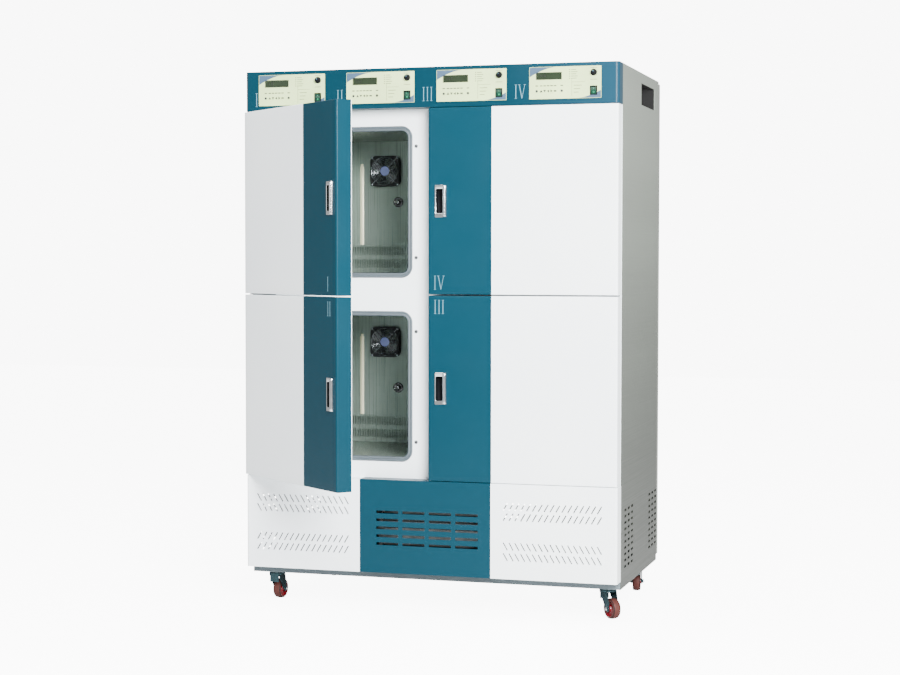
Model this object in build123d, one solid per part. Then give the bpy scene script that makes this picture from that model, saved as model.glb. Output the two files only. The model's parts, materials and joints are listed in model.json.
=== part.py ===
from build123d import *
import os
from math import cos, radians, sin

os.makedirs("parts", exist_ok=True)

# Four-chamber laboratory incubator on casters. Millimetres, +Z up.
# Worked in cabinet coordinates: X 0 is the middle of the width, Y 0 the front plane of the closed doors
# and Z 0 the floor. The finished pieces are moved so that the origin is the bottom centre of the box
# that the part fills with both left doors standing open.

# Cabinet
cabinet_width = 1400.0
cabinet_top = 1975.0
underside = 116.0
flange_y = 64.5
body_depth = 706.0
back_cover_depth = 55.0
sheet = 1.5
return_fold = 18.0
liner_sheet = 1.2

# Header and base cover
header_height = 144.0
header_corner = 14.0
base_cover_bottom = 145.0
base_cover_height = 341.0
base_cover_corner = 8.0
fascia_lap = 18.0

# Doors
door_thickness = 60.0
door_side_gap = 2.0
door_centre_gap = 9.0
door_end_gap = 2.0
door_between_gap = 5.0
door_skin_sheet = 1.2
door_corner = 6.0
door_liner_rim = 2.0
door_dish = 505.0
door_dish_depth = 3.0
door_dish_corner = 24.0
rest_open_angle = 40.5

# Door pivots
pivot_inset = 18.0
pivot_y = 30.0
pin_radius = 4.0
running_clearance = 0.05
soft_clearance = 0.3
pin_reach = 18.0
pin_hole_spare = 2.0
hinge_plate = 4.0
mid_hinge_plate = 3.0
hinge_plate_inner = 92.0
hinge_plate_outer = 8.0
hinge_plate_front = 15.0
hinge_leaf_height = 34.0
collar_radius = 8.0

# Chambers
chamber_size = 520.0
chamber_corner = 26.0
chamber_centre_x = 350.0
liner_back_y = 645.0
baffle_y = 590.0
seal_band = 16.0
seal_lip = 2.0
insulation_top_margin = 16.0

# Air baffle
baffle_gap = 1.0
slot_rows = (36.5, 86.5)
baffle_slot_width = 4.5
baffle_slot_height = 35.0
baffle_slot_count = 20
baffle_slot_pitch = 24.0
bead_offset = 102.0
bead_width = 14.0
bead_height = 3.0
bead_length = 360.0
bead_centre_z = -10.0

# Circulation fan
fan_size = 120.0
fan_depth = 25.0
fan_corner = 22.0
fan_bore = 113.0
fan_rise = 140.0
fan_hub = 42.0
fan_hub_depth = 16.5
fan_tip_gap = 2.5
fan_blades = 7
blade_thickness = 1.6
blade_root_chord = 19.0
blade_tip_chord = 27.0
blade_root_angle = 42.0
blade_tip_angle = 60.0
motor_disc = 40.0
motor_depth = 6.0
strut_width = 5.0
strut_depth = 3.0
fan_shaft_radius = 3.0
guard_wire = 2.0
guard_rings = (24.0, 38.0, 52.0)
guard_hub = 12.0
guard_to_hub = 2.0

# Probe plug on the back wall
plug_radius = 20.0
plug_side = 50.0
plug_rise_upper = 18.0
plug_rise_lower = -41.0
plug_neck_radius = 12.0
plug_proud = 8.0
probe_radius = 3.0
probe_reach = 42.0

# Coil behind each baffle
coil_width = 360.0
coil_height = 150.0
coil_depth = 38.0
coil_drop = 35.0
coil_grooves = 6
coil_groove_width = 30.0
coil_groove_depth = 26.0

# Catch studs on the fascia
stud_inset = 60.0
stud_rise = 202.0
stud_radius = 5.5
stud_height = 4.0

# Door handle
handle_width = 44.0
handle_height = 115.0
handle_inset = 52.0
handle_rim = 2.0
recess_width = 26.0
recess_height = 88.0
recess_depth = 21.0
recess_offset = -4.5
recess_corner = 2.5
cup_wall = 1.5
grip_rise = 10.0
grip_end = 6.0
pocket_clearance = 0.3

# Control plates in the header
plate_width = 258.0
plate_height = 112.0
plate_thickness = 2.0
plate_first_x = -517.0
plate_pitch = 341.5
plate_bottom = 1849.5
cutout_margin = 6.0
window_left = 25.5
window_top = 20.5
window_width = 90.0
window_height = 23.0
key_drop = 84.5
key_size = 8.0
key_height = 0.6
key_places = (27.0, 43.0, 55.5, 68.0, 80.5, 93.0, 117.0)
knob_left = 231.0
knob_drop = 23.0
knob_radius = 10.75
knob_height = 13.0
knob_skirt_height = 3.0
knob_pointer_width = 1.6
knob_shaft_radius = 3.0
knob_shaft_length = 18.0
thermostat_radius = 15.0
thermostat_length = 20.0
switch_left = 231.0
switch_drop = 85.5
switch_width = 26.0
switch_height = 32.0
switch_rim = 2.0
switch_body_depth = 20.0
rocker_width = 18.0
rocker_height = 24.5
rocker_end_gap = 1.1
rocker_tilt = 10.0
rocker_proud = 3.0
trunnion_radius = 1.5
trunnion_reach = 1.2
trunnion_depth = 4.0
board_thickness = 2.0
board_stand = 12.0
board_margin = 14.0

# Vents in the base cover
vent_count = 17
vent_pitch = 21.4
vent_left_start = -650.0
vent_right_start = 294.0
vent_width = 4.0
vent_length = 31.0
vent_slant = 30.0
vent_upper_rows = (260.0, 223.0)
vent_lower_rows = (117.5, 79.5)
grille_columns = 4
grille_rows = 5
grille_slot_width = 84.0
grille_slot_height = 10.0
grille_pitch_x = 100.0
grille_pitch_z = 29.0
grille_centre_z = 165.0

# Side panel vents and lift recess
side_vent_columns = (150.0, 212.0, 274.0, 622.0, 684.0, 746.0)
side_vent_rows = 10
side_vent_first_z = 188.0
side_vent_pitch = 22.5
side_vent_length = 38.0
side_vent_height = 9.0
grip_front_y = 414.0
grip_back_y = 590.0
grip_ramp_y = 690.0
grip_bottom = 1857.0
grip_top = 1937.0
grip_depth = 45.0

# Base frame and back
rail_height = 40.0
rail_width = 40.0
pan_sheet = 3.0
cross_member_x = 190.0
tray_left = -240.0
tray_right = 470.0
tray_sheet = 2.0
back_cover_bottom = 135.0
back_cover_side_inset = 3.0
back_cover_top_inset = 7.0
back_vent_rows = 8
back_vent_pitch = 26.0
back_vent_length = 300.0
back_vent_height = 8.0
back_vent_first_z = 200.0

# Casters
caster_x = 638.0
caster_front_y = 145.0
caster_back_y = 690.0
caster_turns = {"front_left": 84.0, "front_right": -45.0, "back_left": 20.0, "back_right": 98.0}
caster_plate_x = 95.0
caster_plate_y = 65.0
caster_plate_thickness = 4.0
wheel_radius = 37.5
wheel_width = 30.0
wheel_hub_width = 35.0
wheel_core_radius = 28.0
wheel_hub_radius = 13.0
wheel_web = 14.0
tread_shoulder = 5.0
trail = 28.0
fork_sheet = 3.0
fork_side_gap = 0.7
fork_crown_radius = 27.0
fork_crown_top = 104.0
fork_crown_thickness = 8.0
fork_front = 24.0
fork_apron_bottom = 68.0
fork_axle_eye = 11.0
axle_radius = 4.0
axle_nut_radius = 7.5
axle_nut_height = 5.0
raceway_radius = 25.0
raceway_gap = 0.4
kingpin_radius = 6.0
kingpin_head_radius = 9.0
kingpin_head = 5.0

# Refrigeration set in the base
compressor_x = 330.0
compressor_y = 480.0
compressor_radius = 95.0
compressor_lower = 90.0
compressor_upper = 85.0
compressor_seam = 6.0
compressor_foot = 12.0
compressor_foot_size = 210.0
condenser_width = 420.0
condenser_height = 270.0
condenser_depth = 60.0
condenser_y = 85.0
condenser_grooves = 10
condenser_groove_height = 12.0
condenser_groove_depth = 22.0
shroud_sheet = 2.0
shroud_depth = 50.0
condenser_fan_radius = 115.0
condenser_fan_gap = 4.0
condenser_hub_radius = 32.0
condenser_hub_depth = 26.0
condenser_fan_blades = 5
condenser_root_chord = 30.0
condenser_tip_chord = 62.0
condenser_root_angle = 45.0
condenser_tip_angle = 66.0
condenser_blade_thickness = 2.0
condenser_motor_radius = 38.0
condenser_motor_depth = 60.0
condenser_arm_width = 14.0

# Cord gland on the back
gland_x = 560.0
gland_z = 250.0
gland_flange_radius = 16.0
gland_radius = 10.0
gland_length = 14.0
gland_bore = 4.5

# Places worked out from the sizes above
half_width = cabinet_width / 2
header_bottom = cabinet_top - header_height
base_cover_top = base_cover_bottom + base_cover_height
body_back = flange_y + body_depth
door_height = (header_bottom - base_cover_top - 2 * door_end_gap - door_between_gap) / 2
lower_door_bottom = base_cover_top + door_end_gap
upper_door_bottom = lower_door_bottom + door_height + door_between_gap
door_outer_x = half_width - door_side_gap
door_inner_x = door_centre_gap / 2
pivot_x = half_width - pivot_inset
row_bottom = {"lower": lower_door_bottom, "upper": upper_door_bottom}
row_centre = {row: bottom + door_height / 2 for row, bottom in row_bottom.items()}
plug_rise = {"lower": plug_rise_lower, "upper": plug_rise_upper}
side_sign = {"left": -1, "right": 1}
chambers = [("upper", "left"), ("lower", "left"), ("lower", "right"), ("upper", "right")]
fan_front_y = baffle_y - fan_depth
seal_front_y = door_thickness + soft_clearance
tray_top = underside + rail_height + tray_sheet


def block(x0, x1, y0, y1, z0, z1):
    """Box between two opposite corners."""
    size = Box(x1 - x0, y1 - y0, z1 - z0)
    return Pos((x0 + x1) / 2, (y0 + y1) / 2, (z0 + z1) / 2) * size


def facing(x, y, z):
    """Workplane that looks out of the front, with +X to the right and +Z up."""
    return Plane(origin=(x, y, z), x_dir=(1, 0, 0), z_dir=(0, -1, 0))


def front_plate(outline, x, z, y_front, y_back):
    """Flat outline in the front view, made solid between two depths."""
    return extrude(facing(x, y_back, z) * outline, y_back - y_front)


def front_rod(radius, x, z, y_front, y_back):
    """Round bar that runs from front to back."""
    return front_plate(Circle(radius), x, z, y_front, y_back)


def upright_rod(radius, x, y, z0, z1):
    """Round bar that stands upright."""
    return extrude(Plane.XY.offset(z0) * Pos(x, y) * Circle(radius), z1 - z0)


def folded_pan(x0, x1, y0, y1, z0, z1, wall, corner):
    """Sheet pan with four returns, open at the back, with rounded upright front edges."""
    outer = block(x0, x1, y0, y1, z0, z1)
    outer = fillet(outer.edges().filter_by(Axis.Z).group_by(Axis.Y)[0], corner)
    hollow = block(x0 + wall, x1 - wall, y0 + wall, y1 + wall, z0 + wall, z1 - wall)
    hollow = fillet(hollow.edges().filter_by(Axis.Z).group_by(Axis.Y)[0], corner - wall)
    return outer - hollow


def closed_pose(side, row):
    """Placing of a door's pieces that are modelled shut: a left door stands open at rest."""
    if side == "right":
        return Pos(0, 0, 0)
    pivot = Pos(-pivot_x, pivot_y, 0)
    return pivot * Rot(0, 0, -rest_open_angle) * pivot.inverse()


def door_span(side):
    """Left and right edge of a shut door."""
    edges = sorted((side_sign[side] * door_inner_x, side_sign[side] * door_outer_x))
    return edges[0], edges[1]


def handle_x(side):
    return side_sign[side] * handle_inset


def pivot_holes(side, row):
    """Bores in the top and bottom edge of a door for its pivot pins."""
    bottom = row_bottom[row]
    top = bottom + door_height
    depth = pin_reach + pin_hole_spare
    radius = pin_radius + running_clearance
    x = side_sign[side] * pivot_x
    lower = upright_rod(radius, x, pivot_y, bottom - 1, bottom + depth)
    return lower + upright_rod(radius, x, pivot_y, top - depth, top + 1)


def handle_pocket(side, row):
    """Space in a door for the handle's cup."""
    spare = 2 * (cup_wall + pocket_clearance)
    outline = RectangleRounded(recess_width + spare, recess_height + spare, recess_corner)
    depth = recess_depth + cup_wall + pocket_clearance
    return front_plate(outline, handle_x(side) + recess_offset, row_centre[row], -1, depth)


def door_skin(side, row):
    """Outer pan of a door, with the hole for the handle and the two pivot bores."""
    x0, x1 = door_span(side)
    bottom = row_bottom[row]
    pan = folded_pan(
        x0, x1, 0, door_thickness - door_liner_rim, bottom, bottom + door_height, door_skin_sheet, door_corner
    )
    return pan - handle_pocket(side, row) - pivot_holes(side, row)


def door_liner(side, row):
    """Foam-filled inner panel that closes a door's back, with a flat land for the seal round a dished middle."""
    x0, x1 = door_span(side)
    bottom = row_bottom[row]
    top = bottom + door_height
    wall = door_skin_sheet
    core = block(x0 + wall, x1 - wall, wall, door_thickness, bottom + wall, top - wall)
    core = fillet(core.edges().filter_by(Axis.Z).group_by(Axis.Y)[0], door_corner - wall)
    rim = block(x0, x1, door_thickness - door_liner_rim, door_thickness, bottom, top)
    dish = front_plate(
        RectangleRounded(door_dish, door_dish, door_dish_corner),
        side_sign[side] * chamber_centre_x,
        row_centre[row],
        door_thickness - door_dish_depth,
        door_thickness + 1,
    )
    return core + rim - dish - handle_pocket(side, row) - pivot_holes(side, row)


def door_handle(side, row):
    """Pull handle: a rim on the door's face, a finger cup behind it and a raised rounded grip on its right."""
    x = handle_x(side)
    z = row_centre[row]
    rim = front_plate(RectangleRounded(handle_width, handle_height, 3.0), x, z, -handle_rim, 0)
    cup_width = recess_width + 2 * cup_wall
    cup_height = recess_height + 2 * cup_wall
    cup = front_plate(
        RectangleRounded(cup_width, cup_height, recess_corner), x + recess_offset, z, 0, recess_depth + cup_wall
    )
    recess = front_plate(
        RectangleRounded(recess_width, recess_height, recess_corner),
        x + recess_offset,
        z,
        -handle_rim - 1,
        recess_depth,
    )
    grip_left = x + recess_offset + recess_width / 2
    grip_right = x + handle_width / 2
    section = Plane.XY.offset(z - handle_height / 2) * make_face(
        Polyline((grip_right, -handle_rim), (grip_right, 0), (grip_left, 0), (grip_left, -handle_rim))
        + ThreePointArc(
            (grip_left, -handle_rim), ((grip_left + grip_right) / 2, -grip_rise), (grip_right, -handle_rim)
        )
    )
    grip = extrude(section, handle_height)
    bevel = Plane.YZ.offset(grip_left - 1) * make_face(
        Polyline(
            (-handle_rim, z + handle_height / 2),
            (-grip_rise - 1, z + handle_height / 2),
            (-grip_rise - 1, z + handle_height / 2 - grip_end),
            (-handle_rim, z + handle_height / 2),
        )
    )
    upper_bevel = extrude(bevel, grip_right - grip_left + 2)
    lower_bevel = Pos(0, 0, 2 * z) * mirror(upper_bevel, about=Plane.XY)
    return rim + cup + (grip - upper_bevel - lower_bevel) - recess


def fascia():
    """White front sheet behind the doors, with the four chamber openings."""
    bottom = base_cover_top - fascia_lap
    top = header_bottom + fascia_lap
    outline = Rectangle(cabinet_width - 2 * sheet, top - bottom)
    middle = (bottom + top) / 2
    hole_size = chamber_size + 2 * liner_sheet
    for row, side in chambers:
        hole = RectangleRounded(hole_size, hole_size, chamber_corner + liner_sheet)
        outline -= Pos(side_sign[side] * chamber_centre_x, row_centre[row] - middle) * hole
    return front_plate(outline, 0, middle, flange_y, flange_y + sheet)


def liner(side, row):
    """Stainless chamber box, open at the front, with rounded long edges."""
    x = side_sign[side] * chamber_centre_x
    z = row_centre[row]
    outer_size = chamber_size + 2 * liner_sheet
    outer = RectangleRounded(outer_size, outer_size, chamber_corner + liner_sheet)
    inner = RectangleRounded(chamber_size, chamber_size, chamber_corner)
    box = front_plate(outer, x, z, flange_y, liner_back_y)
    return box - front_plate(inner, x, z, flange_y - 1, liner_back_y - liner_sheet)


def air_baffle(side, row):
    """Slotted duct plate in front of a chamber's back wall, on two side flanges, with two pressed beads."""
    x = side_sign[side] * chamber_centre_x
    z = row_centre[row]
    size = chamber_size - 2 * baffle_gap
    outline = RectangleRounded(size, size, chamber_corner - baffle_gap)
    outline -= Pos(0, fan_rise) * Circle(fan_bore / 2)
    outline -= Pos(plug_side, plug_rise[row]) * Circle(plug_neck_radius)
    first = -baffle_slot_pitch * (baffle_slot_count - 1) / 2
    slot = Rectangle(baffle_slot_width, baffle_slot_height)
    slots = Sketch()
    for height in slot_rows:
        for index in range(baffle_slot_count):
            slots += Pos(first + index * baffle_slot_pitch, height - chamber_size / 2) * slot
    plate = front_plate(outline - slots, x, z, baffle_y, baffle_y + liner_sheet)
    flange_height = size - 2 * chamber_corner
    for sign in (-1, 1):
        edge = x + sign * size / 2
        fold = sorted((edge, edge - sign * liner_sheet))
        plate += block(
            fold[0], fold[1], baffle_y, liner_back_y - liner_sheet, z - flange_height / 2, z + flange_height / 2
        )
        plate += bead(x + sign * bead_offset, z + bead_centre_z)
    return plate


def bead(x, z):
    """Half-round stiffening bead that stands out of a baffle."""
    half = bead_width / 2
    section = make_face(
        Polyline((x + half, baffle_y), (x - half, baffle_y))
        + ThreePointArc((x - half, baffle_y), (x, baffle_y - bead_height), (x + half, baffle_y))
    )
    return extrude(Plane.XY.offset(z - bead_length / 2) * section, bead_length)


def opening_seal(side, row):
    """Soft seal round a chamber opening, with a lip that hooks into the liner."""
    x = side_sign[side] * chamber_centre_x
    z = row_centre[row]
    outer_size = chamber_size + 2 * seal_band
    inner_size = chamber_size - 2 * seal_lip
    outer_corner = chamber_corner + seal_band
    band = RectangleRounded(outer_size, outer_size, outer_corner)
    throat = RectangleRounded(inner_size, inner_size, chamber_corner - seal_lip)
    ring = front_plate(band - throat, x, z, seal_front_y, flange_y)
    hook = front_plate(RectangleRounded(chamber_size, chamber_size, chamber_corner) - throat, x, z, flange_y, flange_y + 10)
    front_edge = ring.faces().sort_by(Axis.Y)[0].outer_wire().edges()
    return chamfer(front_edge, 2.0) + hook


def fan_frame(side, row):
    """Square fan frame with its motor plate on four struts, and the ring guard in front of it."""
    x = side_sign[side] * chamber_centre_x
    z = row_centre[row] + fan_rise
    body = RectangleRounded(fan_size, fan_size, fan_corner) - Circle(fan_bore / 2)
    frame = front_plate(body, x, z, fan_front_y, baffle_y)
    frame += front_rod(motor_disc / 2, x, z, baffle_y - motor_depth, baffle_y)
    for turn in (45, 135):
        strut = Rot(0, 0, turn) * Rectangle(fan_bore + 2, strut_width)
        frame += front_plate(strut, x, z, baffle_y - strut_depth, baffle_y)
    frame -= front_rod(fan_shaft_radius + running_clearance, x, z, fan_front_y, baffle_y + 1)
    guard = Circle(guard_hub)
    for radius in guard_rings:
        guard += Circle(radius + guard_wire / 2) - Circle(radius - guard_wire / 2)
    for turn in (45, 135):
        guard += Rot(0, 0, turn) * Rectangle(fan_size + 2 * guard_hub, guard_wire)
    grille = front_plate(guard, x, z, fan_front_y - guard_wire, fan_front_y)
    return [frame, grille]


def bladed_hub(hub_radius, hub_depth, tip_radius, count, chords, angles, thickness):
    """Fan rotor on the Z axis with its back at Z 0: a hub with twisted blades."""
    hub = Cylinder(hub_radius, hub_depth, align=(Align.CENTER, Align.CENTER, Align.MIN))
    hub = fillet(hub.edges().sort_by(Axis.Z)[-1], 2.5)
    root = Plane(origin=(hub_radius - 2, 0, hub_depth / 2), x_dir=(0, 1, 0), z_dir=(1, 0, 0))
    tip = Plane(origin=(tip_radius, 0, hub_depth / 2), x_dir=(0, 1, 0), z_dir=(1, 0, 0))
    sections = [
        root * Rot(0, 0, angles[0]) * Rectangle(thickness, chords[0]),
        tip * Rot(0, 0, angles[1]) * Rectangle(thickness, chords[1]),
    ]
    blade = loft(sections, ruled=True)
    for index in range(count):
        hub += Rot(0, 0, index * 360 / count) * blade
    return hub


def fan_rotor(side, row):
    """Circulation fan rotor with its shaft in the frame's motor plate."""
    rotor = bladed_hub(
        fan_hub / 2,
        fan_hub_depth,
        fan_bore / 2 - fan_tip_gap,
        fan_blades,
        (blade_root_chord, blade_tip_chord),
        (blade_root_angle, blade_tip_angle),
        blade_thickness,
    )
    rotor += Pos(0, 0, -(motor_depth - 0.5) / 2) * Cylinder(fan_shaft_radius, motor_depth - 0.5)
    x = side_sign[side] * chamber_centre_x
    back = fan_front_y + guard_to_hub + fan_hub_depth
    return facing(x, back, row_centre[row] + fan_rise) * rotor


def probe_plug(side, row):
    """Round plug in the baffle with the temperature probe in its middle."""
    x = side_sign[side] * chamber_centre_x + plug_side
    z = row_centre[row] + plug_rise[row]
    head = front_rod(plug_radius, x, z, baffle_y - plug_proud, baffle_y)
    head = fillet(head.edges().group_by(Axis.Y)[0], 3.0)
    neck = front_rod(plug_neck_radius, x, z, baffle_y, baffle_y + 10)
    probe = front_rod(probe_radius, x, z, baffle_y - plug_proud - probe_reach, baffle_y - plug_proud)
    return [head + neck, fillet(probe.edges().group_by(Axis.Y)[0], 1.5)]


def coil(side, row):
    """Finned heating and cooling coil on the chamber's back wall, behind the baffle."""
    x = side_sign[side] * chamber_centre_x
    z = row_centre[row] - coil_drop
    back = liner_back_y - liner_sheet
    body = block(x - coil_width / 2, x + coil_width / 2, back - coil_depth, back, z - coil_height / 2, z + coil_height / 2)
    pitch = coil_width / (coil_grooves + 1)
    for index in range(coil_grooves):
        middle = x - coil_width / 2 + (index + 1) * pitch
        body -= block(
            middle - coil_groove_width / 2,
            middle + coil_groove_width / 2,
            back - coil_depth - 1,
            back - coil_depth + coil_groove_depth,
            z - coil_height / 2 - 1,
            z + coil_height / 2 + 1,
        )
    return body


def catch_stud(side, z):
    """Domed catch stud on the fascia, on the latch side of an opening."""
    stud = front_rod(stud_radius, side_sign[side] * stud_inset, z, flange_y - stud_height, flange_y)
    return fillet(stud.edges().group_by(Axis.Y)[0], 2.0)


def header_shell():
    """Blue header cover with a cut-out behind each control plate and holes for the top pivot pins."""
    shell = folded_pan(
        -half_width, half_width, 0, flange_y, header_bottom, cabinet_top, sheet, header_corner
    )
    for index in range(len(chambers)):
        hole = Rectangle(plate_width - 2 * cutout_margin, plate_height - 2 * cutout_margin)
        shell -= front_plate(hole, plate_x(index) + plate_width / 2, plate_middle_z, -1, sheet + 1)
    for sign in (-1, 1):
        shell -= upright_rod(
            pin_radius + 1, sign * pivot_x, pivot_y, header_bottom - 1, header_bottom + sheet + 1
        )
    return shell


def plate_x(index):
    """Left edge of a control plate."""
    return plate_first_x - plate_width / 2 + index * plate_pitch


plate_middle_z = plate_bottom + plate_height / 2
plate_top = plate_bottom + plate_height
knob_z = plate_top - knob_drop
switch_z = plate_top - switch_drop


def control_plate(index):
    """Control plate with a display window, raised keys and holes for the knob and the switch."""
    left = plate_x(index)
    middle = left + plate_width / 2
    outline = RectangleRounded(plate_width, plate_height, 2.0)
    window = Rectangle(window_width, window_height)
    window_x = window_left + window_width / 2 - plate_width / 2
    outline -= Pos(window_x, plate_height / 2 - window_top - window_height / 2) * window
    outline -= Pos(knob_left - plate_width / 2, plate_height / 2 - knob_drop) * Circle(
        knob_shaft_radius + running_clearance
    )
    inner_width = switch_width - 2 * switch_rim
    inner_height = switch_height - 2 * switch_rim
    outline -= Pos(switch_left - plate_width / 2, plate_height / 2 - switch_drop) * Rectangle(
        inner_width, inner_height
    )
    plate = front_plate(outline, middle, plate_middle_z, -plate_thickness, 0)
    for place in key_places:
        plate += front_plate(
            Rectangle(key_size, key_size),
            left + place,
            plate_top - key_drop,
            -plate_thickness - key_height,
            -plate_thickness,
        )
    return plate


def limit_knob(index):
    """Limit temperature knob: a fluted cap with a pointer groove on its shaft."""
    cap = Cylinder(knob_radius, knob_skirt_height, align=(Align.CENTER, Align.CENTER, Align.MIN))
    grip = Pos(0, 0, knob_skirt_height) * Cylinder(
        knob_radius - 2, knob_height - knob_skirt_height, align=(Align.CENTER, Align.CENTER, Align.MIN)
    )
    grip = chamfer(grip.edges().sort_by(Axis.Z)[-1], 1.2)
    groove = block(
        -knob_pointer_width / 2, knob_pointer_width / 2, 2, knob_radius, knob_height - 1.2, knob_height + 1
    )
    shaft = Pos(0, 0, -knob_shaft_length / 2) * Cylinder(knob_shaft_radius, knob_shaft_length)
    knob = cap + grip - groove + shaft
    return facing(plate_x(index) + knob_left, -plate_thickness - soft_clearance, knob_z) * knob


def switch_bezel(index):
    """Switch body with its rim on the plate and a well for the rocker."""
    x = plate_x(index) + switch_left
    front = -plate_thickness - switch_rim
    inner_width = switch_width - 2 * switch_rim
    inner_height = switch_height - 2 * switch_rim
    bezel = front_plate(RectangleRounded(switch_width, switch_height, 1.5), x, switch_z, front, -plate_thickness)
    bezel += front_plate(Rectangle(inner_width, inner_height), x, switch_z, -plate_thickness, switch_body_depth)
    well = Rectangle(rocker_width + 2 * soft_clearance, rocker_height + 2 * rocker_end_gap)
    bezel -= front_plate(well, x, switch_z, front - 1, switch_body_depth - 3)
    pivot_radius = trunnion_radius + running_clearance
    reach = rocker_width / 2 + soft_clearance + trunnion_reach
    bezel -= Pos(x, trunnion_y, switch_z) * Rot(0, 90, 0) * Cylinder(pivot_radius, 2 * reach)
    return bezel


trunnion_y = -plate_thickness - switch_rim + trunnion_depth


def power_rocker(index):
    """Rocker with a hollow-ground face, tilted to its on side, on two trunnions in the bezel."""
    x = plate_x(index) + switch_left
    half = rocker_height / 2
    face_y = -plate_thickness - switch_rim - rocker_proud
    foot_y = trunnion_y + 4
    outline = make_face(
        Polyline((face_y + 1.5, -half), (foot_y, -half + 4), (foot_y, half - 4), (face_y + 1.5, half))
        + ThreePointArc((face_y + 1.5, half), (face_y + 3.2, 0), (face_y + 1.5, -half))
    )
    body = extrude(Plane.YZ.offset(-rocker_width / 2) * outline, rocker_width)
    pivots = Pos(0, trunnion_y, 0) * Rot(0, 90, 0) * Cylinder(trunnion_radius, rocker_width + 2 * trunnion_reach)
    tilt = Pos(0, trunnion_y, 0) * Rot(rocker_tilt, 0, 0) * Pos(0, -trunnion_y, 0)
    return Pos(x, 0, switch_z) * tilt * (body + pivots)


def control_board(index):
    """Controller board with its display in the window, the limit thermostat and four stand-offs."""
    left = plate_x(index)
    front = board_stand
    width = plate_width - 2 * board_margin
    height = plate_height - 2 * board_margin
    middle = left + plate_width / 2
    board = front_plate(Rectangle(width, height), middle, plate_middle_z, front, front + board_thickness)
    window_x = left + window_left + window_width / 2
    window_z = plate_top - window_top - window_height / 2
    board += front_plate(
        Rectangle(window_width - 0.4, window_height - 0.4), window_x, window_z, -plate_thickness + 0.6, front
    )
    for sign_x in (-1, 1):
        for sign_z in (-1, 1):
            board += front_rod(
                3.0, middle + sign_x * (width / 2 - 5), plate_middle_z + sign_z * (height / 2 - 5), 0, front
            )
    space = Rectangle(switch_width + 2, switch_height + 2)
    board -= front_plate(space, left + switch_left, switch_z, -1, front + board_thickness + 1)
    board += front_rod(thermostat_radius, left + knob_left, knob_z, front, front + thermostat_length)
    return board - front_rod(
        knob_shaft_radius + running_clearance, left + knob_left, knob_z, -1, knob_shaft_length
    )


def base_cover():
    """White and blue cover of the machine compartment, with slanted vents and a plain slotted grille."""
    cover = folded_pan(
        -half_width, half_width, 0, flange_y, base_cover_bottom, base_cover_top, sheet, base_cover_corner
    )
    cuts = Sketch()
    for start, lean in ((vent_left_start, 1), (vent_right_start, -1)):
        for rows, direction in ((vent_upper_rows, lean), (vent_lower_rows, -lean)):
            slot = Rot(0, 0, direction * vent_slant) * Rectangle(vent_width, vent_length)
            for height in rows:
                for index in range(vent_count):
                    cuts += Pos(start + index * vent_pitch, height) * slot
    for column in range(grille_columns):
        for line in range(grille_rows):
            x = (column - (grille_columns - 1) / 2) * grille_pitch_x
            z = grille_centre_z + (line - (grille_rows - 1) / 2) * grille_pitch_z
            cuts += Pos(x, z) * Rectangle(grille_slot_width, grille_slot_height)
    cover -= extrude(facing(0, sheet + 1, base_cover_bottom) * cuts, sheet + 2)
    for sign in (-1, 1):
        cover -= upright_rod(
            collar_radius + 1, sign * pivot_x, pivot_y, base_cover_top - sheet - 1, base_cover_top + 1
        )
    return cover


def side_panel(side):
    """Side sheet with front and back folds, vent slots near the foot and a ramped lift recess near the top."""
    sign = side_sign[side]
    outer = sign * half_width
    inner = outer - sign * sheet
    x0, x1 = sorted((outer, inner))
    top = cabinet_top - sheet
    middle_z = (underside + top) / 2
    middle_y = (flange_y + body_back) / 2
    outline = Rectangle(body_back - flange_y, top - underside)
    for column in side_vent_columns:
        for line in range(side_vent_rows):
            place = Pos(column - middle_y, side_vent_first_z + line * side_vent_pitch - middle_z)
            outline -= place * Rectangle(side_vent_length, side_vent_height)
    mouth = Rectangle(grip_ramp_y - grip_front_y, grip_top - grip_bottom)
    outline -= Pos((grip_front_y + grip_ramp_y) / 2 - middle_y, (grip_bottom + grip_top) / 2 - middle_z) * mouth
    wall = extrude(
        Plane(origin=(x0, middle_y, middle_z), x_dir=(0, 1, 0), z_dir=(1, 0, 0)) * outline, sheet
    )
    fold = sorted((inner, inner - sign * return_fold))
    wall += block(fold[0], fold[1], flange_y + sheet, flange_y + 2 * sheet, underside + rail_height, top)
    wall += block(fold[0], fold[1], body_back - sheet, body_back, underside + rail_height, top)
    return wall + lift_recess(sign)


def lift_recess(sign):
    """Pressed recess in a side panel: square and deep in front, rising along a ramp to the surface behind."""
    face = sign * half_width
    deep = face - sign * grip_depth
    wall = sheet
    outer = make_face(
        Polyline(
            (face, grip_front_y - wall),
            (deep - sign * wall, grip_front_y - wall),
            (deep - sign * wall, grip_back_y + wall / 2),
            (face - sign * wall, grip_ramp_y + 2 * wall),
            (face, grip_ramp_y + 2 * wall),
            (face, grip_front_y - wall),
        )
    )
    inner = make_face(
        Polyline(
            (face + sign, grip_front_y),
            (deep, grip_front_y),
            (deep, grip_back_y),
            (face, grip_ramp_y),
            (face + sign, grip_ramp_y),
            (face + sign, grip_front_y),
        )
    )
    shell = extrude(Plane.XY.offset(grip_bottom - wall) * outer, grip_top - grip_bottom + 2 * wall)
    return shell - extrude(Plane.XY.offset(grip_bottom) * inner, grip_top - grip_bottom)


def top_panel():
    """Top sheet with a downward fold along its front edge."""
    panel = block(-half_width, half_width, flange_y, body_back, cabinet_top - sheet, cabinet_top)
    inside = half_width - sheet - return_fold
    return panel + block(
        -inside, inside, flange_y, flange_y + sheet, header_bottom + fascia_lap, cabinet_top - sheet
    )


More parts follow.
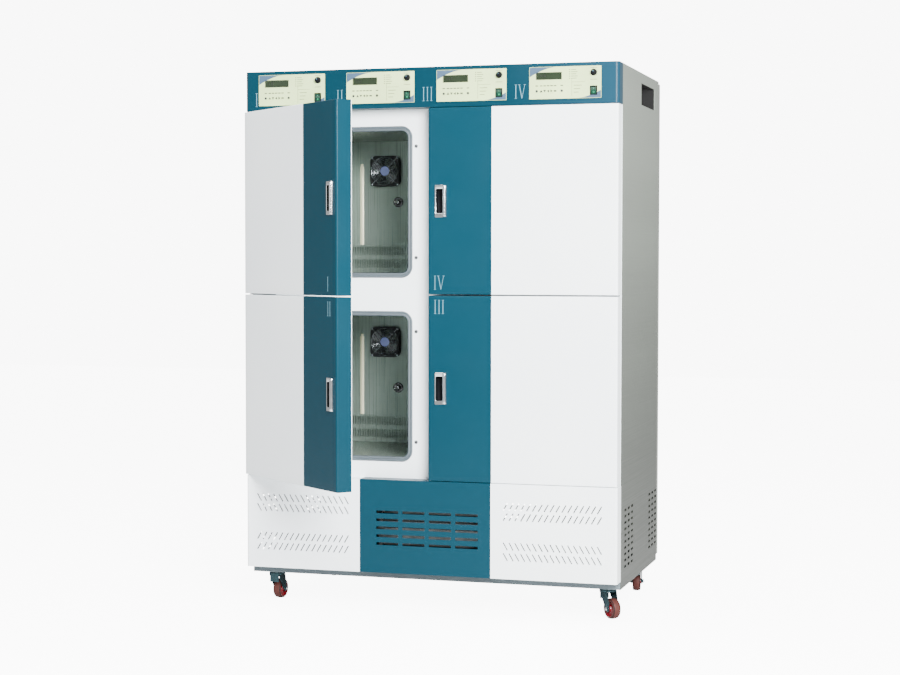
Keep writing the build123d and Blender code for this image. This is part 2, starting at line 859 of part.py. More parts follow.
def back_cover():
    """Deep back pan with vent slots behind the machine compartment and the hole for the cord gland."""
    edge = half_width - back_cover_side_inset
    top = cabinet_top - back_cover_top_inset
    back = body_back + back_cover_depth
    cover = block(-edge, edge, body_back, back, back_cover_bottom, top)
    cover = fillet(cover.edges().filter_by(Axis.Z).group_by(Axis.Y)[-1], base_cover_corner)
    hollow = block(
        -edge + sheet, edge - sheet, body_back - sheet, back - sheet, back_cover_bottom + sheet, top - sheet
    )
    hollow = fillet(hollow.edges().filter_by(Axis.Z).group_by(Axis.Y)[-1], base_cover_corner - sheet)
    cover -= hollow
    for line in range(back_vent_rows):
        z = back_vent_first_z + line * back_vent_pitch
        for sign in (-1, 1):
            middle = sign * (back_vent_length / 2 + 20)
            cover -= block(
                middle - back_vent_length / 2,
                middle + back_vent_length / 2,
                back - sheet - 1,
                back + 1,
                z - back_vent_height / 2,
                z + back_vent_height / 2,
            )
    return cover - front_rod(gland_radius, gland_x, gland_z, back - sheet - 1, back + 1)


def cord_gland():
    """Plastic gland for the mains cord, in its hole in the back cover."""
    back = body_back + back_cover_depth
    gland = front_rod(gland_flange_radius, gland_x, gland_z, back, back + 3)
    gland += front_rod(gland_radius, gland_x, gland_z, back - sheet - 8, back + gland_length)
    return gland - front_rod(gland_bore, gland_x, gland_z, back - 30, back + 30)


def base_frame():
    """Bottom pan of heavy sheet with four upturned rails and two cross members."""
    edge = half_width - sheet
    rail_top = underside + rail_height
    pan = block(-edge, edge, flange_y, body_back, underside, underside + pan_sheet)
    pan += block(tray_left, tray_right, flange_y, body_back, rail_top, tray_top)
    for y0 in (flange_y, body_back - rail_width):
        rail = block(-edge, edge, y0, y0 + rail_width, underside, rail_top)
        pan += rail
    for x0 in (-edge, edge - rail_width):
        pan += block(x0, x0 + rail_width, flange_y, body_back, underside, rail_top)
    for sign in (-1, 1):
        middle = sign * cross_member_x
        pan += block(
            middle - rail_width / 2, middle + rail_width / 2, flange_y, body_back, underside, rail_top
        )
    return pan


def insulation():
    """Foam block that fills the body round the four chamber liners."""
    edge = half_width - sheet
    bottom = base_cover_top - fascia_lap + 1
    top = header_bottom + insulation_top_margin
    foam = block(-edge, edge, flange_y + 2 * sheet, body_back - sheet, bottom, top)
    size = chamber_size + 2 * liner_sheet
    for row, side in chambers:
        cavity = RectangleRounded(size, size, chamber_corner + liner_sheet)
        foam -= front_plate(
            cavity, side_sign[side] * chamber_centre_x, row_centre[row], flange_y, liner_back_y
        )
    return foam


def hinge_bracket(sign, z_plate, thickness, leaf_bottom, leaf_top, pins):
    """Pivot bracket: a leaf on the fascia, a plate above or below the door and its pins with thrust collars."""
    inner = sign * (half_width - hinge_plate_inner)
    outer = sign * (half_width - hinge_plate_outer)
    x0, x1 = sorted((inner, outer))
    leaf_outer = sign * (half_width - hinge_plate_inner + 50)
    leaf_x0, leaf_x1 = sorted((inner, leaf_outer))
    bracket = block(x0, x1, hinge_plate_front, flange_y, z_plate, z_plate + thickness)
    bracket += block(leaf_x0, leaf_x1, flange_y - 3, flange_y, leaf_bottom, leaf_top)
    for z0, z1, collar_z0, collar_z1 in pins:
        bracket += upright_rod(pin_radius, sign * pivot_x, pivot_y, z0, z1)
        if collar_z1 > collar_z0:
            bracket += upright_rod(collar_radius, sign * pivot_x, pivot_y, collar_z0, collar_z1)
    return bracket


def hinge_brackets():
    """Three pivot brackets on each side: above, between and below the doors."""
    lower_top = lower_door_bottom + door_height
    upper_top = upper_door_bottom + door_height
    top_plate = header_bottom + sheet
    bottom_plate = base_cover_top - sheet - hinge_plate
    mid_plate = lower_top + (door_between_gap - mid_hinge_plate) / 2
    mid_top = mid_plate + mid_hinge_plate
    brackets = []
    for sign in (-1, 1):
        top_pin = (upper_top - pin_reach, top_plate, 0, 0)
        brackets.append(
            hinge_bracket(sign, top_plate, hinge_plate, top_plate, top_plate + hinge_leaf_height, [top_pin])
        )
        mid_pins = [
            (lower_top - pin_reach, mid_plate, 0, 0),
            (mid_top, upper_door_bottom + pin_reach, mid_top, upper_door_bottom - soft_clearance),
        ]
        brackets.append(
            hinge_bracket(
                sign,
                mid_plate,
                mid_hinge_plate,
                mid_plate - hinge_leaf_height / 2,
                mid_plate + hinge_leaf_height / 2,
                mid_pins,
            )
        )
        bottom_pin = (
            bottom_plate + hinge_plate,
            lower_door_bottom + pin_reach,
            bottom_plate + hinge_plate,
            lower_door_bottom - soft_clearance,
        )
        brackets.append(
            hinge_bracket(
                sign,
                bottom_plate,
                hinge_plate,
                bottom_plate + hinge_plate - hinge_leaf_height,
                bottom_plate + hinge_plate,
                [bottom_pin],
            )
        )
    return brackets


def caster_place(name):
    """Placing of a caster: its swivel axis on Z, turned so that local +X is the trail direction."""
    x = caster_x if name.endswith("right") else -caster_x
    y = caster_front_y if name.startswith("front") else caster_back_y
    return Pos(x, y, 0) * Rot(0, 0, caster_turns[name])


def caster_plate(name):
    """Top plate of a caster with its raceway and kingpin."""
    x = caster_x if name.endswith("right") else -caster_x
    y = caster_front_y if name.startswith("front") else caster_back_y
    bottom = underside - caster_plate_thickness
    plate = Pos(0, 0, bottom) * extrude(
        RectangleRounded(caster_plate_x, caster_plate_y, 6.0), caster_plate_thickness
    )
    plate += upright_rod(raceway_radius, 0, 0, fork_crown_top + raceway_gap, bottom)
    head_top = fork_crown_top - fork_crown_thickness - soft_clearance
    plate += upright_rod(kingpin_radius, 0, 0, head_top - kingpin_head, bottom)
    plate += upright_rod(kingpin_head_radius, 0, 0, head_top - kingpin_head, head_top)
    return Pos(x, y, 0) * plate


def caster_fork():
    """Swivel fork: a crown on the kingpin, two tapered legs, a front apron and the axle with its nuts."""
    crown_bottom = fork_crown_top - fork_crown_thickness
    crown = upright_rod(fork_crown_radius, 0, 0, crown_bottom, fork_crown_top)
    crown = fillet(crown.edges().group_by(Axis.Z)[-1], 3.0)
    inside = wheel_hub_width / 2 + fork_side_gap
    outside = inside + fork_sheet
    top_bar = Pos(0, (fork_crown_top + crown_bottom) / 2) * Rectangle(2 * fork_front, fork_crown_thickness)
    eye = Pos(trail, wheel_radius) * Circle(fork_axle_eye)
    leg = make_hull(top_bar.edges() + eye.edges())
    fork = crown
    for sign in (-1, 1):
        start = inside if sign > 0 else -outside
        fork += extrude(Plane(origin=(0, start, 0), x_dir=(1, 0, 0), z_dir=(0, -1, 0)) * leg, -fork_sheet)
    fork += block(-fork_front, -fork_front + fork_sheet, -inside, inside, fork_apron_bottom, crown_bottom + 1)
    fork += block(-fork_front, fork_front, -inside, inside, crown_bottom, crown_bottom + fork_sheet)
    fork -= upright_rod(kingpin_radius + running_clearance, 0, 0, crown_bottom - 1, fork_crown_top + 1)
    axle_plane = Plane(origin=(trail, outside, wheel_radius), x_dir=(1, 0, 0), z_dir=(0, -1, 0))
    fork += extrude(axle_plane * Circle(axle_radius), 2 * outside)
    nut = RegularPolygon(axle_nut_radius, 6)
    fork += extrude(Plane(origin=(trail, outside, wheel_radius), x_dir=(1, 0, 0), z_dir=(0, 1, 0)) * nut, axle_nut_height)
    fork += extrude(Plane(origin=(trail, -outside, wheel_radius), x_dir=(1, 0, 0), z_dir=(0, -1, 0)) * nut, axle_nut_height)
    return fork


def caster_wheel():
    """Wheel core with its hub, and the crowned tread bonded round it."""
    half = wheel_width / 2
    bore = axle_radius + running_clearance
    core = make_face(
        Polyline(
            (bore, -wheel_hub_width / 2),
            (wheel_hub_radius, -wheel_hub_width / 2),
            (wheel_hub_radius + 3, -wheel_web / 2),
            (wheel_core_radius - 4, -wheel_web / 2),
            (wheel_core_radius, -half),
            (wheel_core_radius, half),
            (wheel_core_radius - 4, wheel_web / 2),
            (wheel_hub_radius + 3, wheel_web / 2),
            (wheel_hub_radius, wheel_hub_width / 2),
            (bore, wheel_hub_width / 2),
            (bore, -wheel_hub_width / 2),
        )
    )
    shoulder = wheel_radius - tread_shoulder
    tread = make_face(
        Polyline(
            (shoulder, half), (wheel_core_radius, half), (wheel_core_radius, -half), (shoulder, -half)
        )
        + ThreePointArc((shoulder, -half), (wheel_radius, 0), (shoulder, half))
    )
    place = Plane(origin=(trail, 0, wheel_radius), x_dir=(1, 0, 0), z_dir=(0, -1, 0))
    wheel = []
    for face in (core, tread):
        turned = revolve(Plane.XZ * face, Axis.Z, 360)
        wheel.append(place * turned)
    return wheel


def compressor():
    """Hermetic compressor: two pressed shells with a weld seam, on a foot plate."""
    floor = tray_top
    seam = floor + compressor_foot + compressor_lower
    top = seam + compressor_upper
    radius = compressor_radius
    lid = radius - 30
    profile = make_face(
        Polyline(
            (0, top), (0, floor + compressor_foot), (radius - 20, floor + compressor_foot), (radius, floor + compressor_foot + 20),
            (radius, seam - compressor_seam), (radius + 5, seam - compressor_seam), (radius + 5, seam), (radius, seam),
            (radius, seam + 35),
        )
        + ThreePointArc((radius, seam + 35), (radius - 10, top - 22), (lid, top))
        + Polyline((lid, top), (0, top))
    )
    shell = revolve(Plane.XZ * profile, Axis.Z, 360)
    feet = Pos(0, 0, floor) * extrude(
        RectangleRounded(compressor_foot_size, compressor_foot_size * 0.7, 20.0), compressor_foot
    )
    return Pos(compressor_x, compressor_y, 0) * (shell + feet)


condenser_bottom = tray_top
condenser_z = condenser_bottom + condenser_height / 2
shroud_front = condenser_y + condenser_depth
shroud_back = shroud_front + shroud_depth


def condenser():
    """Finned condenser behind the grille, with its fan shroud and the motor on two arms."""
    half = condenser_width / 2
    top = condenser_bottom + condenser_height
    body = block(-half, half, condenser_y, shroud_front, condenser_bottom, top)
    pitch = condenser_height / (condenser_grooves + 1)
    for index in range(condenser_grooves):
        middle = condenser_bottom + (index + 1) * pitch
        body -= block(
            -half + 12,
            half - 12,
            condenser_y - 1,
            condenser_y + condenser_groove_depth,
            middle - condenser_groove_height / 2,
            middle + condenser_groove_height / 2,
        )
    shroud = block(-half, half, shroud_front, shroud_back, condenser_bottom, top)
    shroud -= block(
        -half + shroud_sheet, half - shroud_sheet, shroud_front - 1, shroud_back - shroud_sheet,
        condenser_bottom + shroud_sheet, top - shroud_sheet,
    )
    shroud -= front_rod(
        condenser_fan_radius + condenser_fan_gap, 0, condenser_z, shroud_front - 1, shroud_back + 1
    )
    motor_front = shroud_back + condenser_fan_gap
    motor = front_rod(
        condenser_motor_radius, 0, condenser_z, motor_front, motor_front + condenser_motor_depth
    )
    arm = Rectangle(condenser_width - 20, condenser_arm_width)
    arms = front_plate(arm, 0, condenser_z, motor_front + 8, motor_front + 14)
    for sign in (-1, 1):
        end = sign * (condenser_width / 2 - 17)
        arms += block(
            end - 7, end + 7, shroud_back - 1, motor_front + 9,
            condenser_z - condenser_arm_width / 2, condenser_z + condenser_arm_width / 2,
        )
    motor = motor + arms - front_rod(
        fan_shaft_radius + running_clearance, 0, condenser_z, shroud_front, motor_front + 25
    )
    return body + shroud + motor


def condenser_fan_rotor():
    """Condenser fan rotor with its shaft in the motor."""
    rotor = bladed_hub(
        condenser_hub_radius,
        condenser_hub_depth,
        condenser_fan_radius,
        condenser_fan_blades,
        (condenser_root_chord, condenser_tip_chord),
        (condenser_root_angle, condenser_tip_angle),
        condenser_blade_thickness,
    )
    rotor += Pos(0, 0, -10) * Cylinder(fan_shaft_radius, 20)
    return facing(0, shroud_back + condenser_fan_gap - 1, condenser_z) * rotor


def open_door_reach():
    """How far a left door at rest stands out to the front and to the left."""
    turn = radians(rest_open_angle)
    latch = pivot_x - door_inner_x - door_corner
    front = pivot_y - door_corner
    forward = pivot_y - latch * sin(turn) - front * cos(turn) - door_corner
    outer = door_outer_x - pivot_x - door_corner
    leftward = -pivot_x - outer * cos(turn) - front * sin(turn) - door_corner
    return forward, leftward


front_reach, left_reach = open_door_reach()
rear_reach = body_back + back_cover_depth + gland_length
origin_shift = Pos(-(left_reach + half_width) / 2, -(front_reach + rear_reach) / 2, 0)

pieces = {
    "base_frame": base_frame(),
    "side_panel_left": side_panel("left"),
    "side_panel_right": side_panel("right"),
    "top_panel": top_panel(),
    "back_cover": back_cover(),
    "front_fascia": fascia(),
    "header_shell": header_shell(),
    "base_cover": base_cover(),
    "insulation": insulation(),
    "air_baffles": [air_baffle(side, row) for row, side in chambers],
    "opening_seals": [opening_seal(side, row) for row, side in chambers],
    "fan_frames": [solid for row, side in chambers for solid in fan_frame(side, row)],
    "probe_plugs": [solid for row, side in chambers for solid in probe_plug(side, row)],
    "chamber_coils": [coil(side, row) for row, side in chambers],
    "catch_studs": [
        catch_stud(side, row_centre[row] + sign * stud_rise) for row, side in chambers for sign in (-1, 1)
    ],
    "control_plates": [control_plate(index) for index in range(len(chambers))],
    "switch_bezels": [switch_bezel(index) for index in range(len(chambers))],
    "control_boards": [control_board(index) for index in range(len(chambers))],
    "hinge_brackets": hinge_brackets(),
    "caster_plates": [caster_plate(name) for name in caster_turns],
    "compressor": compressor(),
    "condenser": condenser(),
    "condenser_fan_rotor": condenser_fan_rotor(),
    "cord_gland": cord_gland(),
}
for index, (row, side) in enumerate(chambers):
    place = closed_pose(side, row)
    name = f"{row}_{side}"
    pieces[f"chamber_liner_{name}"] = liner(side, row)
    pieces[f"fan_rotor_{name}"] = fan_rotor(side, row)
    pieces[f"door_skin_{name}"] = place * door_skin(side, row)
    pieces[f"door_liner_{name}"] = place * door_liner(side, row)
    pieces[f"door_handle_{name}"] = place * door_handle(side, row)
    pieces[f"limit_knob_{index + 1}"] = limit_knob(index)
    pieces[f"power_rocker_{index + 1}"] = power_rocker(index)
for name in caster_turns:
    place = caster_place(name)
    pieces[f"caster_fork_{name}"] = place * caster_fork()
    pieces[f"caster_wheel_{name}"] = [place * solid for solid in caster_wheel()]

for node, shape in pieces.items():
    solids = shape if isinstance(shape, list) else [shape]
    moved = [origin_shift * solid for solid in solids]
    export_step(moved[0] if len(moved) == 1 else Compound(children=moved), f"parts/{node}.step")
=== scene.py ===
import json
import math

import bmesh
import bpy
import numpy as np
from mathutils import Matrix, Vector
from mathutils.bvhtree import BVHTree


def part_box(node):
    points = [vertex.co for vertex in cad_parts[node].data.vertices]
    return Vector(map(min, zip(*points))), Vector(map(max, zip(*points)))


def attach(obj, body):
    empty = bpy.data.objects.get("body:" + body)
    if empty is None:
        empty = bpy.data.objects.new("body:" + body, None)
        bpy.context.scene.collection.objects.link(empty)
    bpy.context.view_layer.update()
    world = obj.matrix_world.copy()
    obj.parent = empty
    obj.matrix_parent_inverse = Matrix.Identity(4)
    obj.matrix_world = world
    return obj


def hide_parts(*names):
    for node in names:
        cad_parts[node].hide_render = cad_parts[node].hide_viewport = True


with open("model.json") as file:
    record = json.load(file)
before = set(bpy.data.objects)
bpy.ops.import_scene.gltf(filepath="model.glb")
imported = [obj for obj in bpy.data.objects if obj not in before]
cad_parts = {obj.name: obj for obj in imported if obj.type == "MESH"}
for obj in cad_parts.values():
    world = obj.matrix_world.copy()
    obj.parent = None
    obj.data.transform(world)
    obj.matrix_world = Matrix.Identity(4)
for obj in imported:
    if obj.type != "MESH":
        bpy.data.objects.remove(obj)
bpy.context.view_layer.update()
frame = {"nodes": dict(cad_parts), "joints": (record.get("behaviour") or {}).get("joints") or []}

mm = 0.001                                    # metres in a millimetre
joints = {joint["name"]: joint for joint in frame["joints"]}
headLow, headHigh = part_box("header_shell")
# shapes are in cabinet millimetres: X from the middle, Y back from the door fronts, Z up from the floor
cabinetOrigin = np.array([(headLow[0] + headHigh[0]) / 2, headLow[1], 0.0])


def cabinetBox(nodeName):                     # lowest and highest corner of a CAD node
    return [(np.array(corner) - cabinetOrigin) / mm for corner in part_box(nodeName)]


def jointPlace(jointName):
    return (np.array(joints[jointName]["pos_m"]) - cabinetOrigin) / mm


def toFrame(points):                          # cabinet millimetres to metres in the frame
    return np.asarray(points, float) * mm + cabinetOrigin


chambers = [("upper", "left"), ("lower", "left"), ("lower", "right"), ("upper", "right")]
corners = ("front_left", "front_right", "back_left", "back_right")
sideSign = {"left": -1, "right": 1}
doorLow, doorHigh = cabinetBox("door_skin_upper_right")
doorSpan = {row: [end[2] for end in cabinetBox(f"door_skin_{row}_right")] for row in ("lower", "upper")}
rowCentre = {row: sum(span) / 2 for row, span in doorSpan.items()}
linerLow, linerHigh = cabinetBox("chamber_liner_upper_right")
chamberX = (linerLow[0] + linerHigh[0]) / 2
pivotX, pivotY = jointPlace("door_upper_right_hinge")[:2]
restOpen = math.radians(-joints["door_upper_left_hinge"]["range_deg"][0])
print("stage: frame loaded,", len(frame["nodes"]), "nodes")


def chamberCentre(row, side):
    return np.array([sideSign[side] * chamberX, rowCentre[row]])


# a point of a shut left door is turned about its pivot to where the door rests
def onDoor(points, side):
    points = np.asarray(points, float)
    if side == "right":
        return points
    pivot = np.array([-pivotX, pivotY])
    x, y = np.moveaxis(points[..., :2] - pivot, -1, 0)
    cos, sin = math.cos(restOpen), math.sin(restOpen)
    flat = np.stack([x * cos + y * sin, y * cos - x * sin], -1) + pivot
    return np.concatenate([flat, points[..., 2:]], -1)


# four-sided faces of a grid of points, joined end to end where it wraps
def gridFaces(rows, cols, wrapRows=False, wrapCols=False):
    r = np.arange(rows if wrapRows else rows - 1)
    c = np.arange(cols if wrapCols else cols - 1)
    r, c = [a.ravel() for a in np.meshgrid(r, c, indexing="ij")]
    r2, c2 = (r + 1) % rows, (c + 1) % cols
    return np.stack([r * cols + c, r * cols + c2, r2 * cols + c2, r2 * cols + c], -1)


# several surfaces, with a material number each, before they become one mesh
class Shell:
    def __init__(self):
        self.points, self.faces, self.marks, self.count = [], [], [], 0

    def add(self, points, faces, mark=0):
        points, faces = np.asarray(points, float).reshape(-1, 3), np.asarray(faces)
        self.points.append(points)
        self.faces += (faces + self.count).tolist()
        self.marks.append(np.broadcast_to(mark, len(faces)))
        self.count += len(points)
        return self

    def grid(self, points, mark=0, wrapRows=False, wrapCols=False):
        return self.add(points, gridFaces(*points.shape[:2], wrapRows, wrapCols), mark)

    def cap(self, ring, mark=0):              # closes a ring of points with one face
        return self.add(ring, np.arange(len(ring))[None, :], mark)


weld = 2e-6                                   # points closer than this, in metres, become one
against = -0.3                                # a face that looks this much against the given way is turned


# doubled points are merged; closed shells turn outwards, an open sheet turns to face a given way
def tidyMesh(mesh, facing):
    work = bmesh.new()
    work.from_mesh(mesh)
    bmesh.ops.remove_doubles(work, verts=work.verts, dist=weld)
    bmesh.ops.recalc_face_normals(work, faces=work.faces)
    if facing is not None:
        way = Vector(facing)
        if sum(face.normal.dot(way) * face.calc_area() for face in work.faces) < 0:
            bmesh.ops.reverse_faces(work, faces=work.faces)
        away = [face for face in work.faces if face.normal.dot(way) < against]
        bmesh.ops.reverse_faces(work, faces=away)
    work.to_mesh(mesh)
    work.free()


# an edge with one face only stays crisp when the sheet gets its thickness
def sharpenOpenEdges(mesh):
    loopEdges = np.empty(len(mesh.loops), np.int32)
    crisp = np.empty(len(mesh.edges), bool)
    mesh.loops.foreach_get("edge_index", loopEdges)
    mesh.edges.foreach_get("use_edge_sharp", crisp)
    uses = np.bincount(loopEdges, minlength=len(mesh.edges))
    mesh.edges.foreach_set("use_edge_sharp", crisp | (uses == 1))


def makePiece(name, shell, body, materials, slotName, sharp=35.0, facing=None, wall=0.0):
    mesh = bpy.data.meshes.new(name)
    mesh.from_pydata(toFrame(np.concatenate(shell.points)), [], shell.faces)
    for material in materials:
        mesh.materials.append(material)
    mesh.polygons.foreach_set("material_index", np.concatenate(shell.marks).astype(np.int32))
    piece = bpy.data.objects.new(name, mesh)
    bpy.context.scene.collection.objects.link(piece)
    tidyMesh(mesh, facing)
    mesh.shade_smooth()
    mesh.set_sharp_from_angle(angle=math.radians(sharp))
    sharpenOpenEdges(mesh)
    if wall:                                  # sheet metal gets its thickness on the inside
        solid = piece.modifiers.new("wall", "SOLIDIFY")
        solid.thickness, solid.offset = wall * mm, -1
    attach(piece, body)
    return piece


# one piece for each chamber; the first one replaces the CAD node that holds all four
def chamberPieces(title, shellOf, materials, slotName, nodeName, **finish):
    for index, (row, side) in enumerate(chambers):
        name = f"{title}_{row}_{side}"
        made = makePiece(name, shellOf(row, side), "cabinet", materials, slotName, **finish)
        if index == 0:
            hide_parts(nodeName)


def circleAngles(count):
    return np.arange(count) * 2 * math.pi / count


def rect(x0, y0, x1, y1):
    return [(x0, y0), (x1, y0), (x1, y1), (x0, y1)]


def disc(x, y, r, count=16):
    angle = circleAngles(count)
    return np.stack([x + r * np.cos(angle), y + r * np.sin(angle)], -1)


# rectangle with quarter-circle corners, anticlockwise, and the outward direction at each point
def roundedLoop(width, height, radius, steps=8, centre=(0.0, 0.0)):
    quarter = np.linspace(0, math.pi / 2, steps + 1)
    angle = (quarter[None, :] + np.arange(4)[:, None] * math.pi / 2).ravel()
    out = np.stack([np.cos(angle), np.sin(angle)], -1)
    signs = np.repeat([(1, 1), (-1, 1), (-1, -1), (1, -1)], steps + 1, axis=0)
    return signs * (width / 2 - radius, height / 2 - radius) + radius * out + centre, out


# a flat loop placed in the front plane at a depth
def atDepth(loop, depth, centre=(0.0, 0.0)):
    return np.stack([loop[:, 0] + centre[0], np.full(len(loop), float(depth)), loop[:, 1] + centre[1]], -1)


# rings of points: each row of a profile names a loop, how far it grows outwards, and its depth
def rings(loops, profile, centre):
    return np.array([atDepth(loops[which][0] + grow * loops[which][1], depth, centre)
                     for which, grow, depth in profile])


# radius and distance along the axis are carried round a circle; a radius of nought closes a pole
def turned(shell, origin, profile, axis=(0.0, 1.0, 0.0), steps=40, mark=0, closed=False):
    axis, up = np.asarray(axis, float), np.array([0.0, 0.0, 1.0])
    angle = circleAngles(steps)[:, None]
    ring = np.cos(angle) * np.cross(axis, up) + np.sin(angle) * up
    profile = np.asarray(profile, float)
    points = profile[:, :1, None] * ring + profile[:, 1:, None] * axis + np.asarray(origin, float)
    return shell.grid(points, mark, wrapRows=closed, wrapCols=True)


def moved(profile, along):                    # the same profile, further along its axis
    return [(radius, place + along) for radius, place in profile]


def drum(radius, low, high):                  # profile of a plain cylinder
    return [(0.0, low), (radius, low), (radius, high), (0.0, high)]


# a small circle carried along a path of points, with a face at each end
def rod(shell, path, radius, across, sides):
    way = np.gradient(path, axis=0)
    way /= np.linalg.norm(way, axis=1, keepdims=True)
    second = np.cross(way, across)
    angle = circleAngles(sides)[None, :, None]
    points = path[:, None] + radius * (np.cos(angle) * np.asarray(across) + np.sin(angle) * second[:, None])
    return shell.grid(points, wrapCols=True).cap(points[0]).cap(points[-1])


# a flat outline in the front plane, pushed from one depth to another
def slab(shell, outline, front, back, mark=0, place=lambda points: points):
    outline = np.asarray(outline, float)
    points = place(np.stack([atDepth(outline, front), atDepth(outline, back)]))
    return shell.grid(points, mark, wrapCols=True).cap(points[0], mark).cap(points[1], mark)


def newMaterial(name):
    material = bpy.data.materials.new(name)
    material.use_nodes = True
    tree = material.node_tree
    return material, tree, tree.nodes["Principled BSDF"]


# a shader node; inputs are linked where they are sockets and set where they are values
def node(tree, kind, inputs=None, **settings):
    made = tree.nodes.new(kind)
    for key, value in settings.items():
        setattr(made, key, value)
    setInputs(tree, made, inputs or {})
    return made


def setInputs(tree, made, inputs):
    for key, value in inputs.items():
        if isinstance(value, bpy.types.NodeSocket):
            tree.links.new(value, made.inputs[key])
        else:
            made.inputs[key].default_value = value


def objectPoints(tree):
    return node(tree, "ShaderNodeTexCoord").outputs["Object"]


def noise(tree, scale, detail, stretch=(1, 1, 1)):
    mapping = node(tree, "ShaderNodeMapping", {"Vector": objectPoints(tree), "Scale": stretch})
    inputs = {"Vector": mapping.outputs["Vector"], "Scale": scale, "Detail": detail}
    return node(tree, "ShaderNodeTexNoise", inputs).outputs["Fac"]


def ramp(tree, factor, stops):
    made = node(tree, "ShaderNodeValToRGB", {"Fac": factor})
    elements = made.color_ramp.elements
    while len(elements) < len(stops):
        elements.new(0.5)
    for element, (place, colour) in zip(elements, stops):
        element.position, element.color = place, (*colour, 1)
    return made.outputs["Color"]


def mix(tree, factor, first, second, blend="MIX"):
    made = node(tree, "ShaderNodeMix", {"Factor": factor}, data_type="RGBA", blend_type=blend)
    setInputs(tree, made, {"A": first, "B": second})
    return made.outputs["Result"]


def maths(tree, operation, first, second):
    return node(tree, "ShaderNodeMath", {0: first, 1: second}, operation=operation).outputs["Value"]


def grey(level):
    return (level, level, level)


def shade(colour, factor):
    return tuple(min(1.0, channel * factor) for channel in colour)


def rgb(*screen):                             # screen colour from 0 to 255 to what a shader takes
    return tuple(((c / 255 + 0.055) / 1.055) ** 2.4 if c > 10 else c / 255 / 12.92 for c in screen)


def clouds(tree, colour, spread=0.04, scale=1.7):        # a colour with faint broad patches
    low, high = shade(colour, 1 - spread), shade(colour, 1 + spread)
    return ramp(tree, noise(tree, scale, 2.0), [(0.3, low), (0.7, high)])


def share(tree, axis, low, high):             # from nought at one place along an axis to one at another
    place = node(tree, "ShaderNodeSeparateXYZ", {"Vector": objectPoints(tree)}).outputs[axis]
    made = node(tree, "ShaderNodeMapRange", {"Value": place, "From Min": low, "From Max": high})
    return made.outputs["Result"]


# one where the object's place along a direction, in metres, lies between two values, and nought elsewhere
def zone(tree, direction, low, high):
    inputs = {0: objectPoints(tree), 1: direction}
    along = node(tree, "ShaderNodeVectorMath", inputs, operation="DOT_PRODUCT").outputs["Value"]
    above, below = maths(tree, "GREATER_THAN", along, low), maths(tree, "LESS_THAN", along, high)
    return maths(tree, "MULTIPLY", above, below)


def wander(tree, span, scale):                # roughness that wanders between two values
    return ramp(tree, noise(tree, scale, 4.0), [(0.3, grey(span[0])), (0.7, grey(span[1]))])


def bump(tree, height, strength, distance):
    made = node(tree, "ShaderNodeBump", {"Height": height, "Strength": strength, "Distance": distance})
    return made.outputs["Normal"]


# baked powder paint: faint patches of tone, wandering gloss and a fine orange peel
powder = {"rough": (0.30, 0.42), "roughScale": 6.0, "gloss": 0.10, "coat": 0.05, "coatRough": 0.12,
          "peelScale": 700.0, "peel": 0.06, "peelDeep": 0.0004}


# the colour comes from a plan: a function of the node tree
def paint(name, plan):
    material, tree, bsdf = newMaterial(name)
    peel = bump(tree, noise(tree, powder["peelScale"], 3.0), powder["peel"], powder["peelDeep"])
    setInputs(tree, bsdf, {
        "Base Color": plan(tree), "Roughness": wander(tree, powder["rough"], powder["roughScale"]),
        "Specular IOR Level": powder["gloss"], "Coat Weight": powder["coat"],
        "Coat Roughness": powder["coatRough"], "Normal": peel})
    return material


def plainTone(colour):
    return lambda tree: clouds(tree, colour)


# two paints that meet at a crisp edge, the first one between two places along a direction
def twoTone(first, second, way, low, high):
    return lambda tree: mix(tree, zone(tree, way, low, high), clouds(tree, second), clouds(tree, first))


# painted highlight: a paint whose colour brightens from one place along X to another, standing in for light
# on it
def paintedHighlightTone(first, second, low, high):
    return lambda tree: mix(tree, share(tree, "X", low, high), clouds(tree, first), clouds(tree, second))


brush = {"relief": 0.0003, "reflectionBandStretch": (0.2, 0.2, 2.6), "floorShadeFrom": 0.3, "floorShadeTo": 1.7,
         "floorShadeMiddle": 0.55, "recessShadeEdge": 2.5, "recessShadeSpread": 1.3}


